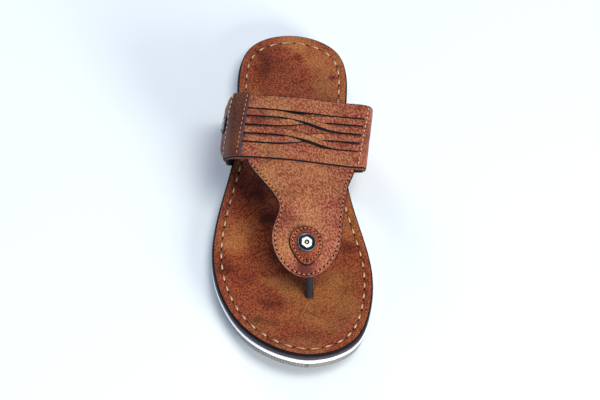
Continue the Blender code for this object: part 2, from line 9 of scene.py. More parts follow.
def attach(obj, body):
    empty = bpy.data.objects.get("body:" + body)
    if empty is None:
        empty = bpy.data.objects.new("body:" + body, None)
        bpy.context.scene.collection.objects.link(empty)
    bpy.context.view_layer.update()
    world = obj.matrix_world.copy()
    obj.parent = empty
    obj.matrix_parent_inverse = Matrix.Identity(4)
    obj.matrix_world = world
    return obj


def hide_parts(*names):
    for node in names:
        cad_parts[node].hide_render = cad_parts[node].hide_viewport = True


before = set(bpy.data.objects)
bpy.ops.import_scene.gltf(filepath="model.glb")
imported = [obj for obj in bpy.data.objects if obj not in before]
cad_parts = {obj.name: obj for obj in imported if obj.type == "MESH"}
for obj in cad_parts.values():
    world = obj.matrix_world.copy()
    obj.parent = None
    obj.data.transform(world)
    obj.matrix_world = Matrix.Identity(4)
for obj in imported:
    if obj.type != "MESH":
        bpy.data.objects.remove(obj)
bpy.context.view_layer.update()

# Studio: a long lens looks down at the toe over a pale floor. The key light is a high soft box on the
# medial side, so the strap shades the footbed. One box stands low in front of the toe, small ones graze
# the lateral side and clear the floor behind the heel, and a bluish room fills the rest.
CAMERA_PLACE = (-0.108375, -1.079479, 1.281742)
CAMERA_RIGHT = (0.995926, 0.001689, 0.090159)
CAMERA_DOWN = (0.059368, -0.764841, -0.641478)
CAMERA_FORWARD = (0.067874, 0.644217, -0.761825)


def linear(colour, alpha=1.0):
    """sRGB hex to linear: c / 12.92 up to 0.04045, else ((c + 0.055) / 1.055) to the power 2.4."""
    value = np.array([int(colour[i:i + 2], 16) for i in (1, 3, 5)]) / 255.0
    value = np.where(value <= 0.04045, value / 12.92, ((value + 0.055) / 1.055) ** 2.4)
    return (*value.tolist(), alpha)


def connect(item, inputs):
    """Set each of a node's input sockets to a value, or link to it a socket or a node's result."""
    for key, value in inputs.items():
        if isinstance(value, bpy.types.Node):
            value = next(socket for socket in value.outputs if socket.enabled)
        if isinstance(value, bpy.types.NodeSocket):
            item.id_data.links.new(value, item.inputs[key])
        else:
            item.inputs[key].default_value = value


def add(tree, kind, inputs=None, **settings):
    """One shader node: settings are its properties, and inputs go to its sockets."""
    item = tree.nodes.new("ShaderNode" + kind)
    for key, value in settings.items():
        setattr(item, key, value)
    connect(item, inputs or {})
    return item


def new_material(name, finish=None):
    """A named material: the finish gives its Principled shader's uniform sockets. Returned with its
    tree, its shader and its Object coordinates."""
    material = bpy.data.materials.new(name)
    material.use_nodes = True
    tree = material.node_tree
    shader = tree.nodes["Principled BSDF"]
    connect(shader, finish or {})
    return material, tree, shader, add(tree, "TexCoord").outputs["Object"]


scene = bpy.context.scene
scene.view_settings.view_transform = "Standard"
lens = bpy.data.cameras.new("studio_camera")
lens.sensor_width = 36.0
lens.lens = 150.0
lens.clip_end = 20.0
camera = bpy.data.objects.new("studio_camera", lens)
turn = Matrix([CAMERA_RIGHT, [-v for v in CAMERA_DOWN], [-v for v in CAMERA_FORWARD]]).transposed()
camera.matrix_world = Matrix.Translation(CAMERA_PLACE) @ turn.to_4x4()
scene.collection.objects.link(camera)
scene.camera = camera

room = bpy.data.worlds.new("pale_room")
room.use_nodes = True
connect(room.node_tree.nodes["Background"], {"Color": linear("#CADDFF"), "Strength": 0.47})
scene.world = room


def soft_box(name, place, size, power, colour):
    """A square area light of a size in metres, turned to the middle of the shoe."""
    light = bpy.data.lights.new(name, "AREA")
    light.size = size
    light.energy = power
    light.color = linear(colour)[:3]
    lamp = bpy.data.objects.new(name, light)
    lamp.location = place
    lamp.rotation_euler = (-lamp.location).to_track_quat("-Z", "Y").to_euler()
    scene.collection.objects.link(lamp)


soft_box("key_soft_box", (0.80, -0.70, 2.80), 1.5, 46.0, "#FFFCF6")
soft_box("front_soft_box", (1.45, -2.05, 0.85), 0.9, 60.0, "#FFFDFA")
soft_box("left_soft_box", (-1.70, -1.20, 0.22), 0.5, 6.0, "#FFFFFF")
soft_box("rear_soft_box", (-0.90, 1.70, 1.00), 0.8, 10.0, "#FFFFFF")

FLOOR_DROP = -0.0003
floor_mesh = bpy.data.meshes.new("floor")
floor_mesh.from_pydata([(-4, -4, 0), (4, -4, 0), (4, 4, 0), (-4, 4, 0)], [], [(0, 1, 2, 3)])
floor_mesh.transform(Matrix.Translation((0.0, 0.0, FLOOR_DROP)))
floor = bpy.data.objects.new("floor", floor_mesh)
scene.collection.objects.link(floor)
# Uncoated background paper: nearly white, with no gloss.
paper, *_ = new_material("matt_white_studio_paper", {"Base Color": linear("#F2F8F8"), "Roughness": 0.9})
floor_mesh.materials.append(paper)


# Outsole: grey foamed rubber, moulded in one piece, 7 mm under the heel and 4 mm under the ball.
# Its side is ribbed finely round the toe, and its floor edge is worn to a soft chamfer.
TOE_TIP = (9.8, -143.2)
HEEL_TIP = (0.3, 141.9)
SOLE_STATIONS = np.array((
    # y, lateral x, medial x
    (-127.6, -26.0, 38.8),
    (-101.4, -43.3, 49.3),
    (-61.7, -52.1, 51.8),
    (-12.1, -47.2, 40.9),
    (36.0, -38.8, 34.2),
    (90.3, -38.4, 36.7),
    (129.7, -29.0, 29.2),
))
SOLE_SHIFT = (0.0, 1.1, 0.0)
OUTSOLE_HEEL, OUTSOLE_FORE = 7.0, 4.0
TOE_SPRING, SPRING_START = 11.8, 0.62
ARCH_LIFT, ARCH_SPAN = 0.8, (0.34, 0.42, 0.46, 0.53)
SPINE_INSET = 48.0


def smoothstep(low, high, value):
    """Ease from 0 at low to 1 at high: s * s * (3 - 2 s), with s the clipped share."""
    share = np.clip((np.asarray(value, float) - low) / (high - low), 0.0, 1.0)
    return share * share * (3.0 - 2.0 * share)


def smooth_curve(points, steps, closed=False):
    """Twice-smooth cubic through the points: the slopes solve the usual banded system over the
    chord lengths, and each span is a Hermite cubic sampled at equal steps."""
    points = np.array([*points, points[0]] if closed else points, float)
    gaps = np.linalg.norm(np.diff(points, axis=0), axis=1)
    span = gaps[:, None]
    chords = np.diff(points, axis=0) / span
    system = 2.0 * np.eye(len(points))
    system[0, 1] = system[-1, -2] = 1.0
    inner = np.arange(1, len(points) - 1)
    system[inner, inner - 1] = gaps[1:]
    system[inner, inner] = 2.0 * (gaps[1:] + gaps[:-1])
    system[inner, inner + 1] = gaps[:-1]
    target = 3.0 * np.vstack([chords[:1], span[1:] * chords[:-1] + span[:-1] * chords[1:], chords[-1:]])
    if closed:
        system[[0, -1]] = target[-1] = 0.0
        system[0, [0, 1, -2]] = 2.0 * (gaps[-1] + gaps[0]), gaps[-1], gaps[0]
        system[-1, [0, -1]] = 1.0, -1.0
        target[0] = 3.0 * (gaps[-1] * chords[0] + gaps[0] * chords[-1])
    slopes = np.linalg.solve(system, target)
    u = (np.arange(steps) / steps)[:, None]
    samples = (1 + 2 * u) * (1 - u) ** 2 * points[:-1, None] + u * u * (3 - 2 * u) * points[1:, None]
    samples += span[:, None] * (u * (1 - u) ** 2 * slopes[:-1, None] - u * u * (1 - u) * slopes[1:, None])
    samples = samples.reshape(-1, points.shape[1])
    return samples if closed else np.vstack([samples, points[-1:]])


def unit(vectors):
    """Vectors scaled to length one, along the last axis."""
    return vectors / np.maximum(np.linalg.norm(vectors, axis=-1, keepdims=True), 1e-9)


FOOT_OUTLINE = smooth_curve(
    [TOE_TIP, *SOLE_STATIONS[:, [2, 0]], HEEL_TIP, *SOLE_STATIONS[::-1, [1, 0]]], 26, closed=True)
heading = unit(np.roll(FOOT_OUTLINE, -1, axis=0) - np.roll(FOOT_OUTLINE, 1, axis=0))
OUTWARD = np.stack([heading[:, 1], -heading[:, 0]], axis=1)
ROUND_LENGTH = np.cumsum(np.linalg.norm(FOOT_OUTLINE - np.roll(FOOT_OUTLINE, 1, axis=0), axis=1))


def heel_share(y):
    """Place along the sole: 0 at the heel tip, 1 at the toe tip."""
    return np.clip((HEEL_TIP[1] - y) / (HEEL_TIP[1] - TOE_TIP[1]), 0.0, 1.0)


def spring(y):
    """Toe spring: the square of the share past its start."""
    return TOE_SPRING * (np.maximum(heel_share(y) - SPRING_START, 0.0) / (1.0 - SPRING_START)) ** 2


def floor_height(y):
    """Underside: on the floor at heel and ball, lifted a little in the waist and at the toe."""
    share = heel_share(y)
    waist = smoothstep(*ARCH_SPAN[:2], share) * (1.0 - smoothstep(*ARCH_SPAN[2:], share))
    return spring(y) + ARCH_LIFT * waist


def outsole_top(y):
    """Top of the outsole: the heel wedge fades out between shares 0.30 and 0.65."""
    wedge = 1.0 - smoothstep(0.30, 0.65, heel_share(y))
    return OUTSOLE_FORE + (OUTSOLE_HEEL - OUTSOLE_FORE) * wedge + spring(y)


def sole_ring(outset):
    """The foot's outline moved out along its normals. Past 24 mm inwards it shrinks to a spine
    instead: a straight blend towards the line midway between the sides."""
    outset = np.asarray(outset, float)
    edge = FOOT_OUTLINE + OUTWARD * np.maximum(outset, -24.0).reshape(-1, 1)
    middle_y = 0.8 * edge[:, 1]
    middle_x = np.interp(middle_y, SOLE_STATIONS[:, 0], SOLE_STATIONS[:, 1:].mean(axis=1))
    spine = np.stack([middle_x, middle_y], axis=1)
    share = np.clip((-outset - 24.0) / (SPINE_INSET - 24.0), 0.0, 1.0).reshape(-1, 1)
    return edge + share * (spine - edge)


def skin(name, grid, materials, finish=0, closed=False, pair_caps=False, marks=None):
    """Mesh over a grid of points in mm: blocks, rows, columns, xyz. Each quad joins a point with its
    neighbours along the row and along the column. Every row is a ring, and closed joins the last
    row to the first. pair_caps closes the first and last row, as the two sides of a flat loop.
    finish is the material of each face: its index, or True for the second."""
    grid = np.asarray(grid, float)
    grid = grid.reshape((-1,) + grid.shape[-3:])
    blocks, rows, columns = grid.shape[:3]
    index = np.arange(blocks * rows * columns).reshape(blocks, rows, columns)
    across = np.hstack([index, index[:, :1]]) if closed else index
    across = np.append(across, across[:, :, :1], axis=2)
    near, far = across[:, :-1], across[:, 1:]
    quads = np.stack([near[..., :-1], near[..., 1:], far[..., 1:], far[..., :-1]], axis=-1)
    slots = np.broadcast_to(finish, quads.shape[:3]).reshape(-1)
    quads = quads.reshape(-1, 4)
    if pair_caps:
        step = np.arange(columns // 2 - 1)
        corners = np.stack([step, step + 1, columns - 2 - step, columns - 1 - step], axis=-1)
        caps = index[:, [0, -1]][..., corners].reshape(-1, 4)
        quads = np.vstack([quads, caps])
        slots = np.append(slots, np.full(len(caps), len(materials) - 1))
    mesh = bpy.data.meshes.new(name)
    mesh.from_pydata(((grid.reshape(-1, 3) + SOLE_SHIFT) / 1000.0).tolist(), [], quads.tolist())
    for material in materials:
        mesh.materials.append(material)
    mesh.polygons.foreach_set("material_index", slots.astype(np.int32))
    for key, values in (marks or {}).items():
        layer = mesh.attributes.new(key, "FLOAT", "POINT")
        layer.data.foreach_set("value", np.broadcast_to(values, grid.shape[:3]).ravel().astype(float))
    body = bmesh.new()
    body.from_mesh(mesh)
    bmesh.ops.remove_doubles(body, verts=body.verts, dist=2e-7)
    bmesh.ops.dissolve_degenerate(body, edges=body.edges, dist=2e-7)
    bmesh.ops.recalc_face_normals(body, faces=body.faces)
    body.to_mesh(mesh)
    body.free()
    mesh.shade_smooth()
    mesh.set_sharp_from_angle(angle=math.radians(50.0))
    item = bpy.data.objects.new(name, mesh)
    scene.collection.objects.link(item)
    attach(item, "root")
    return item


def layer_rings(profile):
    """Closed layer from rows of side outset, toe outset, share of the way from the underside to the
    outsole's top, and lift above that: one ring of the outline for each row, from the underside's
    spine up and over to the top's spine. The side outset passes into the toe outset between shares
    0.84 and 0.97 of the length."""
    fore = smoothstep(0.84, 0.97, heel_share(FOOT_OUTLINE[:, 1]))
    rings = []
    for side, toe, share, lift in profile:
        ring = sole_ring(side + (toe - side) * fore)
        height = (1 - share) * floor_height(ring[:, 1]) + share * outsole_top(ring[:, 1]) + lift
        rings.append(np.column_stack([ring, height]))
    return np.array(rings)


def mottled(name, scale, detail, low, high, bump, finish):
    """A material of two tones mixed by one noise. With a bump, the noise also stands up by that
    share of 0.2 mm. The finish gives the uniform sockets."""
    material, tree, shader, place = new_material(name, finish)
    noise = add(tree, "TexNoise", {"Vector": place, "Scale": scale, "Detail": detail})
    tone = add(tree, "Mix", {0: noise, 6: linear(low), 7: linear(high)}, data_type="RGBA")
    connect(shader, {"Base Color": tone})
    if bump:
        raised = add(tree, "Bump", {"Height": noise, "Strength": bump, "Distance": 0.0002})
        connect(shader, {"Normal": raised})
    return material, tree, shader, place, tone


# Moulded foam rubber: matt, with a faint pebble and dust in the pores.
RIB_PITCH = 1.9
grey_rubber, tree, shader, place, _ = mottled(
    "foamed_grey_outsole_rubber", 40.0, 4.0, "#74716E", "#8C8986", 0.0, {"Roughness": 0.72})
round_mm, rib_mark = (add(tree, "Attribute", attribute_name=name).outputs["Fac"]
                      for name in ("round_mm", "ribbed"))
rib_turn = add(tree, "Math", {0: round_mm, 1: 2 * math.pi / RIB_PITCH}, operation="MULTIPLY")
rib_wave = add(tree, "Math", {0: rib_turn}, operation="SINE")
rib_depth = add(tree, "Math", {0: rib_wave, 1: rib_mark}, operation="MULTIPLY")
rib_bump = add(tree, "Bump", {"Height": rib_depth, "Strength": 0.8, "Distance": 0.0003})
pebble = add(tree, "TexNoise", {"Vector": place, "Scale": 900.0, "Detail": 3.0})
pebbled = add(tree, "Bump", {"Height": pebble, "Strength": 0.35, "Distance": 0.0002, "Normal": rib_bump})
connect(shader, {"Normal": pebbled})

outsole_profile = [(inset, inset, 0.0, 0.0) for inset in (-48.0, -24.0, -12.0, -5.0)]
outsole_profile += [
    # side outset, toe outset, share from underside to top, lift
    (-1.85, 0.9, 0.0, 0.0), (-1.4, 1.35, 0.0, 0.18), (-1.0, 1.75, 0.0, 0.55), (-0.8, 1.95, 0.0, 1.0),
    (-0.4, 2.0, 0.4, 0.3), (0.05, 2.0, 0.8, 0.0), (0.1, 1.9, 1.0, -0.25), (-0.1, 1.7, 1.0, -0.02),
    (-0.6, 1.2, 1.0, 0.0), (-12.0, -12.0, 1.0, 0.0), (-48.0, -48.0, 1.0, -1.0),
]
ribbed = smoothstep(0.86, 0.95, heel_share(FOOT_OUTLINE[:, 1]))
side_only = (np.abs(np.arange(len(outsole_profile)) - 8) < 3)[:, None]
outsole = skin("outsole_rubber", layer_rings(outsole_profile), [grey_rubber],
               marks={"round_mm": ROUND_LENGTH, "ribbed": ribbed * side_only})
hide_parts("outsole")


# White midsole: a thin layer of smooth white foam, die-cut to the outline and glued on the outsole.
# Its side bulges slightly.
white_foam, tree, shader, place = new_material("smooth_white_eva_foam")
# Die-cut closed-cell foam: bright, almost matt, with a slightly soiled lower edge.
soil_and_shade_mask = add(tree, "TexNoise", {"Vector": place, "Scale": 55.0, "Detail": 5.0})
soil_and_shade = add(tree, "MapRange", {0: soil_and_shade_mask, 1: 0.55, 2: 0.8, 4: 0.35})
tone = add(tree, "Mix", {0: soil_and_shade, 6: linear("#FAFBFD"), 7: linear("#D9DCE2")}, data_type="RGBA")
cells = add(tree, "TexNoise", {"Vector": place, "Scale": 1400.0, "Detail": 2.0})
cell_bump = add(tree, "Bump", {"Height": cells, "Strength": 0.2, "Distance": 0.0001})
connect(shader, {"Base Color": tone, "Roughness": 0.55, "Normal": cell_bump})

WHITE_BOTTOM, WHITE_TOP = 0.3, 3.2
white_profile = [
    # side outset, toe outset, share from underside to outsole's top, lift
    (-48.0, -48.0, 1.0, -0.6), (-12.0, -12.0, 1.0, WHITE_BOTTOM), (-0.25, 1.2, 1.0, WHITE_BOTTOM),
    (0.2, 1.65, 1.0, WHITE_BOTTOM + 0.1), (0.4, 1.85, 1.0, WHITE_BOTTOM + 0.5), (0.5, 1.95, 1.0, 1.8),
    (0.4, 1.85, 1.0, WHITE_TOP - 0.5), (0.2, 1.65, 1.0, WHITE_TOP - 0.1), (-0.35, 1.1, 1.0, WHITE_TOP),
    (-12.0, -12.0, 1.0, WHITE_TOP), (-48.0, -48.0, 1.0, WHITE_TOP - 1.2),
]
white_midsole = skin("midsole_white_foam", layer_rings(white_profile), [white_foam])
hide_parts("midsole_white")


# Dark midsole: charcoal fibreboard and foam between the white layer and the leather.
# The cut side is buffed, so it is matt: dark plum grey with fine dust.
charcoal, *_ = mottled(
    "buffed_charcoal_midsole_board", 260.0, 4.0, "#29222A", "#3C333B", 0.4, {"Roughness": 0.6})
DARK_BOTTOM, DARK_TOP = 3.5, 5.7
dark_profile = [
    # side outset, toe outset, share from underside to outsole's top, lift
    (-48.0, -48.0, 1.0, 2.4), (-12.0, -12.0, 1.0, DARK_BOTTOM), (0.0, 0.9, 1.0, DARK_BOTTOM),
    (0.5, 1.4, 1.0, DARK_BOTTOM + 0.15), (0.6, 1.5, 1.0, DARK_BOTTOM + 0.6),
    (0.4, 1.3, 1.0, DARK_TOP - 0.4), (0.25, 1.15, 1.0, DARK_TOP - 0.1), (-0.3, 0.6, 1.0, DARK_TOP),
    (-8.0, -8.0, 1.0, DARK_TOP), (-10.0, -10.0, 1.0, DARK_TOP - 1.6), (-24.0, -24.0, 1.0, 3.4),
    (-48.0, -48.0, 1.0, 2.9),
]
dark_midsole = skin("midsole_charcoal", layer_rings(dark_profile), [charcoal])
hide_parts("midsole_dark")


# Footbed: waxed brown cowhide over a moulded cushion, with a foot-shaped dish, a pressed seam
# groove and a dark painted cut edge. The heel is darkened, and tan shows where the wax is rubbed.
# Beside the tongue and under the band's lateral leg the leather is darkened as painted shade, and
# just left of the toe post a strong tan spot is partly painted light.
FOOTBED_BOTTOM, FOOTBED_TOP, RIM_ROUND = 6.0, 7.7, 0.8
GROOVE_DEPTH, GROOVE_SPREAD = 0.55, 0.8
SEAM_INSET, HEEL_SEAM_INSET = 5.5, 7.2
DISH = smooth_curve((
    # y, depth
    (-143.0, 0.6), (-110.0, 1.8), (-70.0, 2.6), (0.0, 1.9), (50.0, 2.0), (100.0, 3.2), (143.0, 2.0)), 8)
# Spots of wear, and of painted shade and light: the dark spots at (-21, 2), (-12, -24), (-11, -50) and (-8,
# -66) are painted shade of the band and tongue, and the 1.6 tan spot at (-1.1, -84) is partly painted light.
WEAR_AND_SHADE_SPOTS = (
    # x, y, radius, tan (+) or red and dark (-)
    (-34.0, -32.3, 9.8, 0.6), (-39.7, -46.8, 7.8, 0.7), (-37.6, -69.8, 10.8, -0.6),
    (-1.1, -84.0, 5.9, 1.6), (-10.2, -76.7, 5.4, 0.8), (-16.8, -73.8, 4.9, 0.5),
    (-13.5, -95.4, 9.8, -0.6), (1.3, -88.4, 5.9, -0.4), (-8.7, -109.1, 7.8, 0.1),
    (5.0, -123.4, 11.8, -0.05), (23.9, -113.5, 8.8, 0.4), (35.1, -93.8, 8.9, 0.75),
    (27.2, -73.8, 6.9, 0.3), (36.0, -46.5, 7.8, -0.5), (21.2, -89.1, 9.8, 0.4),
    (-47.6, -70.6, 5.9, -0.5), (49.8, -69.8, 4.9, -0.4), (-23.4, -104.4, 6.9, 0.2),
    (-30.8, -96.8, 5.9, -0.2), (-17.2, 120.7, 9.8, -0.7), (-22.3, 101.1, 7.8, -0.5),
    (2.5, 123.5, 2.4, -0.9), (27.5, 104.1, 2.2, -1.2), (13.3, 119.6, 4.9, 0.6), (5.2, 130.9, 4.9, 0.3),
    (21.2, 95.1, 7.8, 0.35), (-22.7, 135.7, 2.9, 0.6), (33.0, 121.3, 3.4, 0.5),
    (-4.6, 118.1, 3.9, -0.4), (-21.0, 2.0, 11.0, -1.2), (-12.0, -24.0, 8.0, -1.1),
    (-11.0, -50.0, 6.0, -1.0), (-8.0, -66.0, 5.0, -0.8), (-36.0, 118.0, 6.0, 0.5),
    (0.0, 139.0, 8.0, 0.5), (24.0, 112.0, 14.0, 0.45),
)


def bell(value, middle, spread):
    """Bell curve: exp(-((value - middle) / spread) squared)."""
    return np.exp(-((value - middle) / spread) ** 2)


def relief(x, y, inset):
    """Moulded dish: its depth by y, eased in between 6.5 and 24 mm from the rim, with the low
    hump of the arch cookie, a bell both ways, taken off it."""
    depth = np.interp(y, DISH[:, 0], DISH[:, 1])
    return smoothstep(6.5, 24.0, inset) * (2.4 * bell(x, 24.0, 13.0) * bell(y, 38.0, 30.0) - depth)


def spots(points, table):
    """Sum of bell-shaped spots in plan, each its amount at its middle."""
    return sum(amount * bell(points[..., 0], x, radius) * bell(points[..., 1], y, radius)
               for x, y, radius, amount in table)


def leather(name, tones, grain_mm, turn, stretch, gloss, depth):
    """Grained cowhide from four tones: middle, tan, deep and crest. Soft noises of 28 and 13 mm and
    the wear and shade mark, real wear with some painted shade and light, blend the middle tone to
    tan (mark above 0) or deep (below 0). Cells of the grain size, stretched along a turn in plan,
    then pass from a half-crest tone at their middles to a half-deep tone in the valleys between
    them, and stand up as bumps."""
    material, tree, shader, place = new_material(name, {"IOR": 1.44, "Specular IOR Level": 0.22})
    middle, tan, deep, crest = (linear(tone) for tone in tones)
    wear_and_shade = add(tree, "Attribute", attribute_name="wear_and_shade").outputs["Fac"]
    broad = add(tree, "TexNoise", {"Vector": place, "Scale": 36.0, "Detail": 2.0})
    cloud = add(tree, "TexNoise", {"Vector": place, "Scale": 75.0, "Detail": 1.0})
    pulled = add(tree, "Math", {0: wear_and_shade, 1: 0.5, 2: broad}, operation="MULTIPLY_ADD")
    tan_share = add(tree, "MapRange", {0: pulled, 1: 0.46, 2: 0.8})
    sunk = add(tree, "Math", {0: wear_and_shade, 1: -0.45, 2: cloud}, operation="MULTIPLY_ADD")
    deep_share = add(tree, "MapRange", {0: sunk, 1: 0.5, 2: 0.98, 4: 0.9})
    tanned = add(tree, "Mix", {0: tan_share, 6: middle, 7: tan}, data_type="RGBA")
    shaded = add(tree, "Mix", {0: deep_share, 6: tanned, 7: deep}, data_type="RGBA")
    crest_share = add(tree, "Math", {0: deep_share, 1: -0.5, 2: 0.5}, operation="MULTIPLY_ADD")
    crested = add(tree, "Mix", {0: crest_share, 6: shaded, 7: crest}, data_type="RGBA")
    hollow = add(tree, "Mix", {0: 0.52, 6: shaded, 7: deep}, data_type="RGBA")
    drawn = add(tree, "Mapping", {"Vector": place, "Rotation": (0.0, 0.0, math.radians(turn)),
                                  "Scale": (stretch, 1.0, 1.0)}, vector_type="TEXTURE")
    cells = add(tree, "TexVoronoi", {"Vector": drawn, "Scale": 1000.0 / grain_mm, "Randomness": 0.85})
    pores = add(tree, "TexNoise", {"Vector": drawn, "Scale": 3200.0 / grain_mm, "Detail": 1.0})
    grain = add(tree, "Math", {0: pores, 1: 0.4, 2: cells}, operation="MULTIPLY_ADD")
    valley = add(tree, "MapRange", {0: grain, 1: 0.42, 2: 0.86})
    tone = add(tree, "Mix", {0: valley, 6: crested, 7: hollow}, data_type="RGBA")
    rough = add(tree, "MapRange", {0: cloud, 1: 0.3, 2: 0.7, 3: gloss - 0.06, 4: gloss + 0.08})
    pebbled = add(tree, "Bump", {"Height": grain, "Strength": depth, "Distance": 0.0004}, invert=True)
    connect(shader, {"Base Color": tone, "Roughness": rough, "Normal": pebbled})
    return material


# Waxed cowhide: satin, mottled from red brown to ochre, with a fine pebble grain.
footbed_leather = leather("waxed_brown_footbed_cowhide", ("#93361B", "#B8743C", "#400F07", "#CA7846"),
                          0.95, 60.0, 1.5, 0.5, 0.6)
# Water-based edge paint: near black, dull, a little uneven over the fibres.
edge_paint, *_ = mottled("dark_edge_paint_on_cut_leather", 420.0, 3.0, "#0E0D11", "#1D1B20", 0.4,
                         {"Roughness": 0.7, "Specular IOR Level": 0.08})


def seam_inset(y):
    """The seam keeps 5.5 mm from the rim, and 7.2 mm round the back of the heel."""
    return SEAM_INSET + (HEEL_SEAM_INSET - SEAM_INSET) * smoothstep(112.0, 138.0, y)


def footbed_surface(x, y, inset):
    """Height of the footbed's top: a quarter round at the rim, then the bell-shaped seam groove with
    a low pillow before it, then the moulded dish."""
    rim = RIM_ROUND - np.sqrt(RIM_ROUND ** 2 - np.maximum(RIM_ROUND - inset, 0.0) ** 2)
    groove = GROOVE_DEPTH * bell(inset, seam_inset(y), GROOVE_SPREAD)
    pillow = 0.2 * smoothstep(0.8, 3.0, inset) * (1.0 - smoothstep(3.5, 5.0, inset))
    return outsole_top(y) + FOOTBED_TOP - rim - groove + pillow + relief(x, y, inset)


top_insets = np.hstack([[0.0, 0.1, 0.25, 0.5, 0.8, 1.5, 2.4, 3.2], np.arange(3.8, 8.9, 0.3),
                        np.arange(9.6, 24.1, 1.6), np.linspace(27.0, SPINE_INSET, 8)])
under_side = ((-48.0, 3.4), (-24.0, 3.7), (-9.0, FOOTBED_BOTTOM), (-1.0, FOOTBED_BOTTOM),
              (-0.1, FOOTBED_BOTTOM + 0.1))
rings = [*layer_rings([(outset, outset, 1.0, lift) for outset, lift in under_side])]
for inset in top_insets:
    ring = sole_ring(-inset)
    rings.append(np.column_stack([ring, footbed_surface(*ring.T, inset)]))
rings = np.array(rings)
PAINTED_RINGS = 9
footbed = skin("footbed_leather", rings, [footbed_leather, edge_paint],
               finish=(np.arange(len(rings) - 1) < PAINTED_RINGS)[:, None],
               marks={"wear_and_shade": spots(rings, WEAR_AND_SHADE_SPOTS)})
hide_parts("footbed")

# Footbed seam: waxed cream thread in long running stitches that bed into the groove, each between
# two awl holes.
# Twisted linen: the ply shows as fine diagonal shadows, with a soft wax sheen. Soil browns it, and the
# sunk end of each stitch along the sides is darkened further as painted shade.
thread, tree, shader, _, ply_tone = mottled(
    "waxed_cream_linen_thread", 1300.0, 2.0, "#A47848", "#F2D6AA", 0.5, {"Roughness": 0.6})
soil_and_shade_level = add(tree, "Attribute", attribute_name="soil_and_shade").outputs["Fac"]
soil_and_shade = add(tree, "Mix", {0: soil_and_shade_level, 6: ply_tone, 7: linear("#7C4826")}, data_type="RGBA")
connect(shader, {"Base Color": soil_and_shade})
# The open hole in the leather: a near-black lens of painted shade, no gloss.
hole_shade, *_ = new_material("shadowed_awl_hole", {
    "Base Color": linear("#1C0D08"), "Roughness": 0.95, "Specular IOR Level": 0.1})


def along_path(path, up, pitch, closed):
    """A path and its up directions, closed round if asked, the arc length along it, and the middles
    of equal steps of about the pitch."""
    if closed:
        path, up = np.vstack([path, path[:1]]), np.vstack([up, up[:1]])
    reach = np.hstack([[0.0], np.cumsum(np.linalg.norm(np.diff(path, axis=0), axis=1))])
    count = int(round(reach[-1] / pitch))
    middles = (np.arange(count) + 0.5) * reach[-1] / count
    return path, up, reach, middles


def follow(reach, columns, s):
    """Each column of a table read at arc lengths s, by straight interpolation."""
    return np.stack([np.interp(s, reach, columns[:, k]) for k in range(columns.shape[1])], axis=-1)


def circle(first, second, steps=8, phase=0.0):
    """The unit circle that two directions span: cos a * first + sin a * second, at equal steps."""
    angle = 2 * math.pi * (np.arange(steps) + phase) / steps
    return np.cos(angle)[:, None] * first[..., None, :] + np.sin(angle)[:, None] * second[..., None, :]


def stitches(name, path, up, pitch, length, radius, material, closed=False, bow=0.9, pull=0.0):
    """Running stitches: each follows the path over its length. With u from -1 to 1 along it, the
    thread's radius is radius * sqrt(1 - u^4), and its middle stands bow * radius - 1.3 * radius * u^2
    above the path, so that both ends dive. A pull raises and thickens the end nearer the toe and
    sinks the other one, as far as the stitch runs towards the toe. The soil and shade mark browns
    every stitch by half the pull, and darkens the sunk end further as painted shade."""
    path, up, reach, middles = along_path(path, up, pitch, closed)
    u = np.linspace(-1.0, 1.0, 9)
    wobble = 0.06 * length * np.sin(7.3 * np.arange(len(middles)))[:, None]
    s = middles[:, None] + wobble + u * length / 2
    centre = follow(reach, path, s)
    normal = unit(follow(reach, up, s))
    tangent = np.gradient(centre, axis=1)
    toward = -pull * unit(tangent)[..., 1] * u
    lift = radius * (bow - 1.3 * u ** 2 + 0.7 * toward)
    wide = radius * np.sqrt(np.maximum(1.0 - u ** 4, 0.0)) * (1.0 + 0.45 * toward)
    ply = wide[..., None, None] * circle(unit(np.cross(tangent, normal)), normal)
    soil_and_shade_mask = np.clip(0.5 * abs(pull) - 2.0 * toward, 0.0, 1.0)
    return skin(name, (centre + normal * lift[..., None])[:, :, None] + ply, [material],
                marks={"soil_and_shade": soil_and_shade_mask[..., None]})


def awl_holes(name, path, up, pitch, radius, closed, stretch):
    """Holes at the ends of the stitches: shallow lenses, radius across and 0.1 mm proud, half a step
    past the middle of each stitch."""
    path, up, reach, middles = along_path(path, up, pitch, closed)
    s = middles + (middles[1] - middles[0]) / 2
    s = s % reach[-1] if closed else s[:-1]
    centre, behind, front = (
        follow(reach, path, np.clip(s + gap, 0.0, reach[-1])) for gap in (0.0, -0.2, 0.2))
    ahead = unit(front - behind)
    normal = unit(follow(reach, up, s))
    tilt = np.linspace(-math.pi / 2, math.pi / 2, 5)[:, None, None]
    rim = circle(stretch * ahead, np.cross(ahead, normal))[:, None]
    grid = centre[:, None, None] + radius * np.cos(tilt) * rim + 0.1 * np.sin(tilt) * normal[:, None, None]
    return skin(name, grid, [hole_shade])


def sew(names, path, up, lifts, pitch, length, radius, hole, material, closed=False, pull=0.0, stretch=1.0):
    """A seam's two pieces: its stitches and the awl holes between them, each at its own lift above
    the path."""
    threads = stitches(names.format("thread"), path + lifts[0] * up, up, pitch, length, radius, material,
                       closed, pull=pull)
    holes = awl_holes(names.format("holes"), path + lifts[1] * up, up, pitch, hole, closed, stretch)
    return threads, holes


